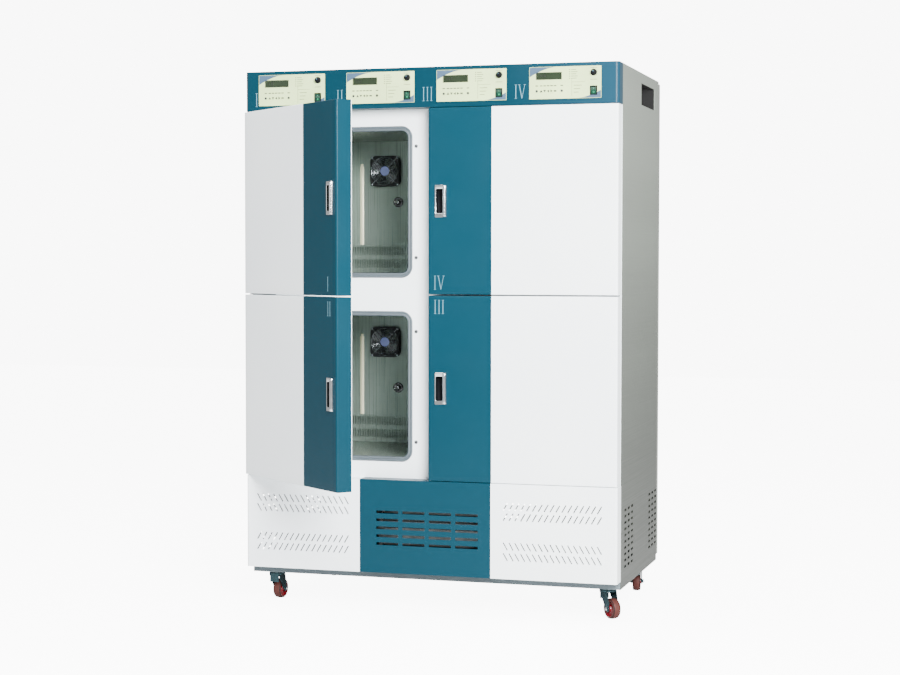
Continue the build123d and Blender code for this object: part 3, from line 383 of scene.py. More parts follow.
# brushed sheet: fine lines along the grain, broad soft bands of painted reflection, a painted shade that may
# darken it towards the floor, and a painted shade, nearly black, inside the lift recesses of the side panels
def brushed(name, colour, rough=(0.28, 0.42), stretch=(3, 3, 600), spread=0.10, relief=0.08, reflectionBands=0.05,
            metallic=1.0, floorShadeTone=1.0, recessShadeTone=None):
    material, tree, bsdf = newMaterial(name)
    grain = noise(tree, 1.0, 5.0, stretch)
    lines = ramp(tree, grain, [(0.3, shade(colour, 1 - spread)), (0.7, shade(colour, 1 + spread))])
    # painted reflection: broad soft bands of lighter and darker tone
    reflectionBandNoise = noise(tree, 1.0, 1.0, brush["reflectionBandStretch"])
    tone = ramp(tree, reflectionBandNoise, [(0.35, grey(1 - reflectionBands)), (0.65, grey(1.0))])
    base = mix(tree, 1.0, lines, tone, "MULTIPLY")
    # painted shade: the colour darkens towards the floor
    if floorShadeTone < 1:
        stops = [(0.0, grey(floorShadeTone)), (brush["floorShadeMiddle"], grey((1 + floorShadeTone) / 2)), (1.0, grey(1.0))]
        floorShade = ramp(tree, share(tree, "Z", brush["floorShadeFrom"], brush["floorShadeTo"]), stops)
        base = mix(tree, 1.0, base, floorShade, "MULTIPLY")
    # painted shade: the inside of the lift recesses is painted nearly black
    if recessShadeTone:
        edge = brush["recessShadeEdge"] * mm
        recessShadeMask = zone(tree, (1, 0, 0), headLow[0] + edge, headHigh[0] - edge)
        recessShade = ramp(tree, grain, [(0.0, grey(recessShadeTone)), (1.0, grey(recessShadeTone * brush["recessShadeSpread"]))])
        base = mix(tree, recessShadeMask, base, recessShade)
    setInputs(tree, bsdf, {
        "Base Color": base, "Metallic": metallic, "Normal": bump(tree, grain, relief, brush["relief"]),
        "Roughness": ramp(tree, grain, [(0.25, grey(rough[0])), (0.75, grey(rough[1]))])})
    return material


mouldedDeep = 0.0002                          # metres of relief


# moulded plastic or rubber with a fine spark-eroded grain
def moulded(name, colour, rough=(0.35, 0.5), grain=1400.0, relief=0.12, metallic=0.0, coat=0.0, glow=0.0,
            gloss=0.5):
    material, tree, bsdf = newMaterial(name)
    tone = clouds(tree, colour, 0.08, 9.0)
    setInputs(tree, bsdf, {
        "Base Color": tone, "Roughness": wander(tree, rough, 25.0), "Metallic": metallic,
        "Coat Weight": coat, "Specular IOR Level": gloss,
        "Normal": bump(tree, noise(tree, grain, 3.0), relief, mouldedDeep)})
    if glow:
        setInputs(tree, bsdf, {"Emission Color": tone, "Emission Strength": glow})
    return material


# the display glass is green-grey in front; the circuit board behind it is green lacquer with soldered dots
board = {"glassBack": 12.0, "glass": rgb(30, 40, 26), "lacquer": rgb(22, 74, 42),
         "solder": rgb(178, 182, 176), "dots": 420.0, "rough": (0.14, 0.26)}
farAway = 5.0                                 # metres, past every side of the cabinet


def boardMaterial():
    material, tree, bsdf = newMaterial("controlBoard")
    dots = ramp(tree, noise(tree, board["dots"], 2.0), [(0.62, board["lacquer"]), (0.68, board["solder"])])
    inFront = zone(tree, (0, 1, 0), -farAway, board["glassBack"] * mm + float(cabinetOrigin[1]))
    setInputs(tree, bsdf, {"Base Color": mix(tree, inFront, dots, clouds(tree, board["glass"], 0.06, 30.0)),
                           "Roughness": wander(tree, board["rough"], 40.0)})
    return material


def frameX(place):
    return place * mm + float(cabinetOrigin[0])


# colours and where the teal bands end, in cabinet millimetres
teal, white, headerHighlight = rgb(8, 48, 61), rgb(244, 250, 255), rgb(24, 56, 72)
# painted shade: the header's teal is the doors' teal darkened
headerShadedTeal = shade(teal, 0.8)
tealBand = {"baseLeft": -256.0, "baseRight": 239.0, "door": 241.0, "highlightFrom": 0.3, "highlightTo": 0.72}
# the band lies on the latch side of each door, measured along the door as it rests
leftWay = (math.cos(restOpen), -math.sin(restOpen), 0.0)
leftPivot = np.array(joints["door_upper_left_hinge"]["pos_m"])
leftEdge = float(leftPivot @ np.array(leftWay)) + (pivotX - tealBand["door"]) * mm
alongX = (1, 0, 0)
paints = {
    # painted highlight: the header's teal grows lighter towards its right end
    "header": paint("tealPowderPaint", paintedHighlightTone(headerShadedTeal, headerHighlight, tealBand["highlightFrom"],
                                                  tealBand["highlightTo"])),
    "white": paint("whitePowderPaint", plainTone(white)),
    "strip": paint("greyFramePaint", plainTone(rgb(92, 102, 107))),
    "base": paint("baseCoverPaint", twoTone(teal, white, alongX, frameX(tealBand["baseLeft"]),
                                            frameX(tealBand["baseRight"]))),
    "left": paint("doorPaintLeft", twoTone(teal, white, leftWay, leftEdge, farAway)),
    "right": paint("doorPaintRight", twoTone(teal, white, alongX, -farAway, frameX(tealBand["door"]))),
}
steel = {
    # the side panels carry painted shade towards the floor and inside the lift recesses
    "side": brushed("sidePanelSteel", rgb(138, 145, 136), (0.38, 0.5), (2, 2, 420), 0.05, 0.05, 0.12,
                    metallic=0.35, floorShadeTone=0.26, recessShadeTone=0.01),
    "back": brushed("backCoverSteel", rgb(140, 145, 138), (0.38, 0.5), (420, 2, 2), 0.05, 0.05, 0.1, 0.35),
    "inner": brushed("chamberSteel", rgb(122, 134, 126), (0.24, 0.38), (500, 500, 2), 0.04, 0.04, 0.05,
                     0.55),
    # painted highlight: the pale bright steel on the beads' crests
    "bead": brushed("beadCrestHighlight", rgb(236, 230, 196), (0.16, 0.26), (500, 500, 2), 0.03, 0.02, 0.0, 0.3),
    "zinc": brushed("zincPlate", rgb(96, 112, 116), (0.25, 0.4), (60, 60, 60), 0.18, 0.1, 0.0, 0.85),
    "chrome": brushed("polishedChrome", rgb(214, 216, 218), (0.10, 0.18), (40, 40, 500), 0.03, 0.02, 0.0),
    "wire": brushed("blackedWire", rgb(112, 118, 120), (0.2, 0.32), (90, 90, 90), 0.1, 0.02, 0.0, 0.9),
    "fins": brushed("finAluminium", rgb(120, 124, 124), (0.3, 0.45), (900, 30, 30), 0.12, 0.2, 0.1, 0.8),
    "coil": brushed("coatedCoil", rgb(20, 22, 22), (0.4, 0.55), (900, 30, 30), 0.2, 0.2, 0.1, 0.4),
    "fork": brushed("tealPlatedSteel", rgb(46, 70, 76), (0.22, 0.36), (60, 60, 60), 0.2, 0.02, 0.1, 0.75),
}
plastics = {
    "black": moulded("blackPlastic", rgb(20, 22, 23), gloss=0.3),
    "deep": moulded("deepBlackPlastic", rgb(6, 7, 12), (0.5, 0.6), gloss=0.1),
    "gloss": moulded("blackGlossPlastic", rgb(16, 17, 18), (0.14, 0.24), 900.0, 0.03, coat=0.4),
    "seal": moulded("greySealRubber", rgb(70, 80, 86), (0.5, 0.65), 1200.0, 0.1),
    "plate": moulded("creamOverlay", rgb(190, 210, 148), (0.4, 0.5), 2200.0, 0.05),
    "foam": moulded("paleFoam", rgb(228, 214, 168), (0.8, 0.95), 260.0, 0.6),
    "grey": moulded("greyFanPlastic", rgb(66, 68, 70), (0.4, 0.55), gloss=0.2),
    "core": moulded("redWheelCore", rgb(98, 5, 16), (0.16, 0.26), 700.0, 0.05, coat=0.2),
    "tread": moulded("treadRubber", rgb(74, 40, 36), (0.45, 0.6), 600.0, 0.15, gloss=0.15),
    "treadEdge": moulded("treadEdge", rgb(26, 18, 18), (0.45, 0.6), 600.0, 0.15, gloss=0.15),
    "green": moulded("greenRocker", rgb(2, 50, 34), (0.15, 0.25), 900.0, 0.04, coat=0.3, glow=0.04),
    "greenMark": moulded("rockerPrint", rgb(50, 150, 110), (0.3, 0.4), 900.0, 0.04),
    "enamel": moulded("blackEnamel", rgb(16, 16, 17), (0.2, 0.35), 500.0, 0.1, coat=0.3),
    "print": moulded("greyPrint", rgb(34, 38, 38), (0.5, 0.6)),
    "sweep": moulded("blueGreyPrint", rgb(52, 76, 98), (0.45, 0.55)),
    "numeral": moulded("paleNumeral", rgb(92, 134, 148), (0.4, 0.5)),
    "hubLabel": moulded("silverHubLabel", rgb(128, 136, 186), (0.25, 0.35), 900.0, 0.05, metallic=0.4),
    "darkFrame": moulded("darkDisplayFrame", rgb(34, 38, 36), (0.3, 0.4)),
    "figure": moulded("displayFigure", rgb(8, 10, 8), (0.3, 0.4)),
}


def dress(nodeName, material):
    mesh = frame["nodes"][nodeName].data
    mesh.materials.clear()
    mesh.materials.append(material)


plain = {
    "base_frame": paints["strip"], "side_panel_left": steel["side"], "side_panel_right": steel["side"],
    "top_panel": steel["back"], "back_cover": steel["back"], "front_fascia": paints["white"],
    "header_shell": paints["header"], "base_cover": paints["base"], "insulation": plastics["foam"],
    "air_baffles": steel["inner"], "opening_seals": plastics["seal"], "fan_frames": plastics["black"],
    "probe_plugs": plastics["gloss"], "chamber_coils": steel["coil"], "catch_studs": steel["chrome"],
    "control_plates": plastics["plate"], "switch_bezels": plastics["gloss"],
    "control_boards": boardMaterial(), "hinge_brackets": steel["zinc"], "caster_plates": steel["zinc"],
    "compressor": plastics["enamel"], "condenser": steel["fins"], "condenser_fan_rotor": plastics["grey"],
    "cord_gland": plastics["black"],
}
for nodeName, material in plain.items():
    dress(nodeName, material)
for index, (row, side) in enumerate(chambers):
    name = f"{row}_{side}"
    dress(f"chamber_liner_{name}", steel["inner"])
    dress(f"fan_rotor_{name}", plastics["black"])
    dress(f"door_liner_{name}", paints["white"])
    dress(f"door_handle_{name}", steel["chrome"])
    dress(f"door_skin_{name}", paints[side])
    dress(f"limit_knob_{index + 1}", plastics["gloss"])
    dress(f"power_rocker_{index + 1}", plastics["green"])
for corner in corners:
    dress(f"caster_fork_{corner}", steel["fork"])
    dress(f"caster_wheel_{corner}", plastics["core"])
print("stage: materials ready")


# the camera's place is in cabinet millimetres, the lights' places in metres; angles in degrees
view = {"place": (1966.16, -6314.55, 1271.29), "yaw": 16.57, "pitch": 2.3, "roll": -0.06, "lens": 73.553,
        "sensor": 36.0, "far": 60.0}
light = {
    "key": {"place": (3.0, -4.6, 3.0), "aim": (0.2, 0.0, 1.0), "size": 2.2, "power": 1380},
    "fill": {"place": (-4.0, -4.0, 2.4), "aim": (0.0, 0.0, 1.0), "size": 3.0, "power": 60},
    "top": {"place": (0.0, -0.5, 5.0), "aim": (0.0, 0.0, 0.0), "size": 4.0, "power": 420},
}
surround = {"light": 0.6, "seen": 9.0, "floor": 0.6, "floorLight": 0.1, "floorSeen": 9.0, "floorRough": 0.6,
            "reach": 14.0}


def makeCamera():
    data = bpy.data.cameras.new("camera")
    data.lens, data.sensor_width, data.clip_end = view["lens"], view["sensor"], view["far"]
    camera = bpy.data.objects.new("camera", data)
    bpy.context.scene.collection.objects.link(camera)
    camera.location = toFrame(view["place"])
    angles = (90 - view["pitch"], view["roll"], view["yaw"])
    camera.rotation_euler = [math.radians(angle) for angle in angles]
    bpy.context.scene.camera = camera


# white to look at, without lighting the cabinet as strongly as it looks
def seenOrCast(tree, cast, seen):
    straight = node(tree, "ShaderNodeLightPath").outputs["Is Camera Ray"]
    return node(tree, "ShaderNodeMix", {"Factor": straight, "A": cast, "B": seen}).outputs["Result"]


def makeLights():
    for name, values in light.items():
        data = bpy.data.lights.new(name, "AREA")
        data.shape, data.size, data.energy = "SQUARE", values["size"], values["power"]
        lamp = bpy.data.objects.new(name, data)
        bpy.context.scene.collection.objects.link(lamp)
        lamp.location = values["place"]
        way = Vector(values["aim"]) - Vector(values["place"])
        lamp.rotation_euler = way.to_track_quat("-Z", "Y").to_euler()
    world = bpy.data.worlds.new("studio")
    bpy.context.scene.world = world
    world.use_nodes = True
    tree = world.node_tree
    strength = seenOrCast(tree, surround["light"], surround["seen"])
    setInputs(tree, tree.nodes["Background"], {"Color": (*grey(1.0), 1), "Strength": strength})


def makeFloor():
    reach = surround["reach"]
    mesh = bpy.data.meshes.new("floor")
    mesh.from_pydata([(x, y, 0) for x, y in rect(-reach, -reach, reach, reach)], [], [(0, 1, 2, 3)])
    floor = bpy.data.objects.new("floor", mesh)
    bpy.context.scene.collection.objects.link(floor)
    material, tree, bsdf = newMaterial("paleFloor")
    strength = seenOrCast(tree, surround["floorLight"], surround["floorSeen"])
    setInputs(tree, bsdf, {
        "Base Color": (*grey(surround["floor"]), 1), "Roughness": surround["floorRough"],
        "Emission Color": (*grey(1.0), 1), "Emission Strength": strength})
    mesh.materials.append(material)


makeCamera()
makeLights()
makeFloor()
print("stage: camera, light and floor")


# door skins: one folded sheet each, rounded at the front edges, with the cut-out for the handle
doorSkin = {"corner": 6.5, "lip": 2.5, "steps": 9, "wall": 0.9, "across": 25, "up": 23,
            "cut": (-19.3, 10.3), "cutHalf": 45.8, "handleX": 52.0}


# across: back edge, quarter circle, front, quarter circle, back edge; up: the same, more tightly bent; the
# depth of a point is the larger of the two, and the faces inside the cut-out are left out
def doorSheet(row, side):
    s = doorSkin
    x0, x1 = sorted((sideSign[side] * doorLow[0], sideSign[side] * doorHigh[0]))
    z0, z1 = doorSpan[row]
    depth, r, lip = doorHigh[1], s["corner"], s["lip"]
    cx, cz = sideSign[side] * s["handleX"], rowCentre[row]
    cutLow, cutHigh = cx + s["cut"][0], cx + s["cut"][1]
    angle = np.linspace(0, math.pi / 2, s["steps"])
    bendX, bendY = r - r * np.cos(angle), r - r * np.sin(angle)
    frontX = np.unique(np.concatenate([np.linspace(x0 + r, x1 - r, s["across"]), [cutLow, cutHigh]]))
    x = np.concatenate([[x0], x0 + bendX[:-1], frontX, x1 - bendX[-2::-1], [x1]])
    planY = np.concatenate([[depth], bendY[:-1], 0 * frontX, bendY[-2::-1], [depth]])
    rollZ, rollY = lip - lip * np.cos(angle), lip - lip * np.sin(angle)
    frontZ = np.unique(np.concatenate([np.linspace(z0 + lip, z1 - lip, s["up"]),
                                       [cz - s["cutHalf"], cz + s["cutHalf"]]]))[1:-1]
    z = np.concatenate([[z0], z0 + rollZ, frontZ, z1 - rollZ[::-1], [z1]])
    rise = np.concatenate([[depth], rollY, 0 * frontZ, rollY[::-1], [depth]])
    y = np.maximum(planY[None, :], rise[:, None])
    points = np.stack([np.broadcast_to(x, y.shape), y, np.broadcast_to(z[:, None], y.shape)], -1)
    faces = gridFaces(*y.shape)
    middle = points.reshape(-1, 3)[faces].mean(1)
    cut = ((middle[:, 0] > cutLow) & (middle[:, 0] < cutHigh) & (abs(middle[:, 2] - cz) < s["cutHalf"])
           & (middle[:, 1] < lip / 2))
    return Shell().add(onDoor(points, side), faces[~cut])


frontWay = {"left": (-math.sin(restOpen), -math.cos(restOpen), 0.0), "right": (0.0, -1.0, 0.0)}
for row, side in chambers:
    skin = makePiece(f"doorSheet_{row}_{side}", doorSheet(row, side), f"door_{row}_{side}", [paints[side]],
                     "door_paint", 30, frontWay[side], doorSkin["wall"])
    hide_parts(f"door_skin_{row}_{side}")
print("stage: door sheets")


# door handles: plated rim, black finger cup and a rounded grip bar on the right; the profiles' rows name the
# loop, 0 the rim's outer edge and 1 the cup's mouth, how far it grows, and its depth
handle = {"width": 44.0, "height": 115.0, "corner": 3.0, "face": -2.0, "cupWidth": 26.0, "cupHeight": 88.0,
          "cupCorner": 2.5, "cupShift": -4.5, "loopSteps": 6,
          "rim": [(1, 0.9, 0.0), (0, 0.0, 0.0), (0, 0.0, -1.2), (0, -0.8, -2.0), (1, 0.8, -2.0),
                  (1, 0.0, -1.4), (1, 0.0, 1.0)],
          "cup": [(1, 0.0, 1.0), (1, 0.0, 17.5), (1, -1.0, 19.7), (1, -2.4, 20.5)],
          "back": [(1, -1.5, 21.4), (1, 0.9, 18.5), (1, 0.9, 0.0)]}
grip = {"low": 8.0, "high": 22.0, "rise": 8.2, "seat": 0.2, "sink": 0.4, "tip": 7.0, "narrow": 0.72,
        "flat": 0.8, "steps": 29, "round": 28}


# the grip's height falls off as a quarter ellipse towards each end; across, it is a flattened half circle
def gripBar(shell, centre, side):
    half = handle["height"] / 2
    along = np.sin(np.linspace(-math.pi / 2, math.pi / 2, grip["steps"])) * half
    past = np.clip((np.abs(along) - (half - grip["tip"])) / grip["tip"], 0, 1)
    lift = np.sqrt(1 - past ** 2)[:, None]
    angle = circleAngles(grip["round"])[None, :]
    wide, middle = (grip["high"] - grip["low"]) / 2, (grip["high"] + grip["low"]) / 2
    x = centre[0] + middle - wide * np.cos(angle) * (grip["narrow"] + (1 - grip["narrow"]) * lift)
    front = grip["rise"] * np.clip(np.sin(angle), 0, 1) ** grip["flat"]
    back = grip["sink"] * np.clip(-np.sin(angle), 0, 1)
    y = handle["face"] + grip["seat"] - (front - back) * lift
    z = np.broadcast_to((centre[1] + along)[:, None], x.shape)
    shell.grid(onDoor(np.stack([x, y, z], -1), side), 0, wrapCols=True)


def handleShell(row, side):
    h = handle
    centre = (sideSign[side] * doorSkin["handleX"], rowCentre[row])
    loops = [roundedLoop(h["width"], h["height"], h["corner"], h["loopSteps"]),
             roundedLoop(h["cupWidth"], h["cupHeight"], h["cupCorner"], h["loopSteps"], (h["cupShift"], 0))]
    rim, cup, back = [onDoor(rings(loops, h[part], centre), side) for part in ("rim", "cup", "back")]
    shell = Shell().grid(rim, 0, wrapCols=True)
    shell.grid(cup, 1, wrapCols=True).cap(cup[-1], 1)
    shell.grid(back, 1, wrapCols=True).cap(back[0], 1)
    gripBar(shell, centre, side)
    return shell


for row, side in chambers:
    made = makePiece(f"doorHandle_{row}_{side}", handleShell(row, side), f"door_{row}_{side}",
                     [steel["chrome"], plastics["deep"]], "chrome_trim", 40)
    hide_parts(f"door_handle_{row}_{side}")
print("stage: door handles")


# seals round the openings: one hollow bulb profile carried round a rounded rectangle; its rows say how far
# the rectangle grows and the depth
seal = {"inner": 516.0, "corner": 24.0, "steps": 10,
        "profile": [(0.0, 74.0), (0.0, 66.0), (0.6, 63.2), (2.2, 61.4), (4.6, 60.6), (7.0, 61.0),
                    (8.6, 62.2), (9.6, 62.9), (10.8, 62.3), (12.6, 61.2), (14.8, 61.0), (16.6, 61.9),
                    (17.7, 63.2), (18.0, 64.4), (1.2, 64.4), (1.2, 74.0)]}


def sealShell(row, side):
    loop = roundedLoop(seal["inner"], seal["inner"], seal["corner"], seal["steps"])
    profile = [(0, grow, depth) for grow, depth in seal["profile"]]
    return Shell().grid(rings([loop], profile, chamberCentre(row, side)), 0, wrapRows=True, wrapCols=True)


chamberPieces("openingSeal", sealShell, [plastics["seal"]], "grey_seal", "opening_seals", sharp=50)
print("stage: seals")


# air baffles: a thin sheet with two rows of upright slots, a fan hole and two pressed beads
fanRise = jointPlace("fan_upper_left_spin")[2] - rowCentre["upper"]
baffle = {"half": 259.0, "floor": 260.0, "y": 590.0, "wall": 1.0, "slots": 48, "pitch": 10.4, "wide": 5.8,
          "tall": 34.0, "rows": (36.5, 86.5), "cellHalf": 25.0, "cellPush": 4.0, "capSteps": 7,
          "fanHole": 56.5, "fanCell": 66.0, "fanSteps": 48}
bead = {"x": 102.0, "half": 10.0, "rise": 3.0, "low": -190.0, "high": 170.0, "end": 10.0, "steps": 9,
        "crest": 0.3}


def onBaffle(shell, x, z, centre, rise=0.0, mark=0, wrapCols=False):
    y = np.broadcast_to(baffle["y"] - rise, x.shape)
    shell.grid(np.stack([x + centre[0], y, z + centre[1]], -1), mark, wrapCols=wrapCols)


# each slot is a ring of faces between its round-ended outline and the edges of its cell
def slotCells(shell, centre):
    b = baffle
    n, half = b["capSteps"], b["wide"] / 2
    angle = np.concatenate([np.linspace(0, math.pi, n), np.linspace(math.pi, 2 * math.pi, n)])
    shift = np.repeat([1.0, -1.0], n) * (b["tall"] / 2 - half)
    slot = np.stack([np.cos(angle) * half, np.sin(angle) * half + shift], -1)
    way = np.stack([np.cos(angle), np.sin(angle)], -1)
    cell = np.clip(way * b["cellPush"], -1, 1) * (b["pitch"] / 2, b["cellHalf"])
    ring = np.stack([cell, slot])
    for height in b["rows"]:
        for offset in (np.arange(b["slots"]) - (b["slots"] - 1) / 2) * b["pitch"]:
            onBaffle(shell, ring[..., 0] + offset, ring[..., 1] + height - b["floor"], centre, wrapCols=True)


# square patch with a round hole: square and circle are joined at like angles
def fanCell(shell, centre):
    angle = circleAngles(baffle["fanSteps"])
    way = np.stack([np.cos(angle), np.sin(angle)], -1)
    square = way / np.abs(way).max(1, keepdims=True) * baffle["fanCell"]
    ring = np.stack([square, way * baffle["fanHole"]])
    onBaffle(shell, ring[..., 0], ring[..., 1] + fanRise, centre, wrapCols=True)


# patch of the sheet: across a bead it comes forward as a raised cosine, which falls off at the bead's ends
def panelPatch(shell, x0, x1, z0, z1, centre):
    b = bead
    beadX = [s * b["x"] + t * b["half"] for s in (-1, 1) for t in np.linspace(-1, 1, b["steps"])]
    beadZ = (b["low"], b["low"] + b["end"], b["high"] - b["end"], b["high"])
    xs = np.unique([x0, x1] + [x for x in beadX if x0 < x < x1])
    zs = np.unique([z0, z1] + [z for z in beadZ if z0 < z < z1])
    x, z = np.meshgrid(xs, zs)
    across = np.clip(np.abs(np.abs(x) - b["x"]) / b["half"], 0, 1)
    run = np.clip(np.minimum(z - b["low"], b["high"] - z) / b["end"], 0, 1)
    rise = b["rise"] * (1 + np.cos(math.pi * across)) / 2 * run
    middle = (rise[1:, 1:] + rise[:-1, :-1] + rise[1:, :-1] + rise[:-1, 1:]) / 4
    # faces along a bead's crest take the second material, a painted highlight
    onBaffle(shell, x, z, centre, rise, (middle > b["crest"] * b["rise"]).ravel().astype(int))


def baffleShell(row, side):
    b = baffle
    centre, shell = chamberCentre(row, side), Shell()
    half, edge, cell = b["half"], b["slots"] * b["pitch"] / 2, b["fanCell"]
    low = b["rows"][0] - b["floor"] - b["cellHalf"]
    high = b["rows"][1] - b["floor"] + b["cellHalf"]
    slotCells(shell, centre)
    fanCell(shell, centre)
    under, over = fanRise - cell, fanRise + cell
    for patch in ((-half, half, -half, low), (-half, -edge, low, high), (edge, half, low, high),
                  (-half, half, high, under), (-half, -cell, under, over), (cell, half, under, over),
                  (-half, half, over, half)):
        panelPatch(shell, *patch, centre)
    return shell


chamberPieces("airBaffle", baffleShell, [steel["inner"], steel["bead"]], "stainless", "air_baffles",
              sharp=40, facing=(0, -1, 0), wall=baffle["wall"])
print("stage: air baffles")


# circulation fans: moulded square housing with struts, a ring guard of blacked wire and a label on the hub;
# the housing's rows name the loop, 0 the bore and 1 the square outside, how far it grows, and its depth
fan = {"half": 60.0, "corner": 24.0, "bore": 56.5, "front": 565.5, "deep": 24.5, "hub": 20.0, "hubSteps": 36,
       "housing": [(0, 0.0, 24.5), (0, 0.0, 2.5), (0, 1.8, 0.2), (1, -1.4, 0.0), (1, 0.0, 1.4),
                   (1, 0.0, 5.0), (1, -2.0, 6.0), (1, -2.0, 19.5), (1, 0.0, 20.5), (1, 0.0, 24.5)],
       "motor": [(0, 18.7), (19.0, 18.7), (20.0, 19.5), (20.0, 24.5), (0, 24.5)],
       "strut": 2.5, "strutDeep": 3.0, "labelSteps": 32,
       "label": [(0, -0.35), (18.2, -0.35), (18.5, -0.1), (18.5, 0.2), (0, 0.2)]}
guard = {"wire": 1.25, "sides": 8, "rings": (22.0, 28.4, 34.8, 41.2, 47.6, 54.0), "ringSteps": 48,
         "ringGap": 2.6, "dish": 2.0, "armGap": 0.9, "armSteps": 10, "screw": 52.5, "screwSteps": 16,
         "screwHead": [(0, -2.6), (3.4, -2.4), (4.6, -1.6), (4.6, 0.0), (0, 0.0)]}
armAngles = math.pi / 4 + np.arange(4) * math.pi / 2


def fanCentre(row, side):
    return chamberCentre(row, side) + (0, fanRise)


def atFront(centre, depth=0.0):
    return np.array([centre[0], depth, centre[1]])


# rings from the bore round the front to the square outside and back to the bore; struts hold the motor
def housingShell(row, side):
    f, centre, shell = fan, fanCentre(row, side), Shell()
    square = roundedLoop(2 * f["half"], 2 * f["half"], f["corner"])
    circle = square[0] / np.linalg.norm(square[0], axis=1, keepdims=True)
    profile = [(which, grow, f["front"] + depth) for which, grow, depth in f["housing"]]
    loops = [(circle * f["bore"], circle), square]
    shell.grid(rings(loops, profile, centre), 0, wrapRows=True, wrapCols=True)
    turned(shell, atFront(centre, f["front"]), f["motor"], steps=f["hubSteps"])
    near, far, back = f["hub"] - 1, f["bore"] + 1, f["front"] + f["deep"]
    for turnBy in armAngles:
        along = np.array([math.cos(turnBy), math.sin(turnBy)])
        across = np.array([-along[1], along[0]]) * f["strut"]
        outline = [along * near - across, along * far - across, along * far + across, along * near + across]
        slab(shell, np.array(outline) + centre, back - f["strutDeep"], back)
    return shell


# how far the guard stands out: most in the middle, nought at the housing's edge, as a parabola
def dished(radius):
    return guard["dish"] * np.clip(1 - (radius / fan["half"]) ** 2, 0, 1)


# each guard ring is a small circle carried round a large one; four dished arms end at the screws
def guardShell(centre):
    g, front, shell = guard, fan["front"], Shell()
    origin = atFront(centre)
    for radius in g["rings"]:
        section = disc(radius, front - g["ringGap"] - dished(radius), g["wire"], g["sides"])
        turned(shell, origin, section, steps=g["ringSteps"], closed=True)
    reach = g["screw"] * math.sqrt(2)
    for turnBy in armAngles:
        way = np.array([math.cos(turnBy), 0.0, math.sin(turnBy)])
        t = np.linspace(g["rings"][0], reach, g["armSteps"])
        path = way * t[:, None] + origin
        path[:, 1] = front - g["armGap"] - dished(t)
        rod(shell, path, g["wire"], (-way[2], 0.0, way[0]), g["sides"])
        turned(shell, way * reach + origin, moved(g["screwHead"], front), steps=g["screwSteps"])
    return shell


for index, (row, side) in enumerate(chambers):
    name, centre = f"{row}_{side}", fanCentre(row, side)
    housing = makePiece(f"fanHousing_{name}", housingShell(row, side), "cabinet", [plastics["black"]],
                        "black_plastic")
    if index == 0:
        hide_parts("fan_frames")
    rotorFront = cabinetBox(f"fan_rotor_{name}")[0][1]
    label = turned(Shell(), atFront(centre, rotorFront), fan["label"], steps=fan["labelSteps"])
    makePiece(f"fanGuard_{name}", guardShell(centre), "cabinet", [steel["wire"]], "chrome_trim")
    makePiece(f"fanHubLabel_{name}", label, f"fan_{name}", [plastics["hubLabel"]], "grey_plastic")
print("stage: fans")


# round plugs in the baffles, each with a steel temperature probe; their profiles give radius and depth
plug = {"x": 50.0, "z": {"upper": 18.0, "lower": -41.0}, "high": 8.0, "steps": 44, "probeSteps": 20,
        "cap": [(0, 1.4), (8.4, 1.2), (10.0, 0.2), (16.4, 0.0), (19.2, 1.0), (20.0, 2.6), (20.0, 7.9),
                (0, 7.9)],
        "probe": [(0, -41.8), (1.8, -41.4), (3.0, -39.6), (3.0, 1.5), (0, 1.5)],
        "collar": [(3.0, -5.0), (4.6, -4.6), (4.6, 1.4), (3.0, 1.4)]}


def plugShell(row, side):
    origin = atFront(chamberCentre(row, side) + (plug["x"], plug["z"][row]), baffle["y"] - plug["high"])
    shell = turned(Shell(), origin, plug["cap"], steps=plug["steps"])
    turned(shell, origin, plug["probe"], steps=plug["probeSteps"], mark=1)
    return turned(shell, origin, plug["collar"], steps=plug["probeSteps"], mark=1, closed=True)


chamberPieces("probePlug", plugShell, [plastics["gloss"], steel["chrome"]], "black_plastic", "probe_plugs")


# catch studs on the latch side of the openings: a domed head with a black slot mark on it, painted shade
# where a cut slot would lie
studFront = cabinetBox("catch_studs")[0][1]
stud = {"x": 60.0, "rise": 202.0, "steps": 24, "slot": (3.2, 0.5), "slotDeep": (-0.08, 0.3),
        "head": [(0, 0.0), (3.72, 0.25), (5.704, 1.1), (6.2, 2.2), (6.2, 4.0), (0, 4.0)]}


def studShell():
    shell, (halfX, halfZ) = Shell(), stud["slot"]
    for row, side in chambers:
        for way in (-1, 1):
            x, z = sideSign[side] * stud["x"], rowCentre[row] + way * stud["rise"]
            turned(shell, (x, studFront, z), stud["head"], steps=stud["steps"])
            front, back = [studFront + depth for depth in stud["slotDeep"]]
            slab(shell, rect(x - halfX, z - halfZ, x + halfX, z + halfZ), front, back, 1)
    return shell


made = makePiece("catchStuds", studShell(), "cabinet", [plastics["grey"], plastics["black"]], "zinc_steel")
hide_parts("catch_studs")
print("stage: plugs and studs")


# numerals: upright and slanted strokes with short feet, a hair proud of the paint
numeral = {"stroke": 2.6, "thin": 1.5, "height": 50.0, "gap": 14.5, "foot": 4.0, "footHeight": 1.4,
           "proud": 0.25, "sunk": 0.05, "vHalf": 10.0, "vMeet": 8.0}


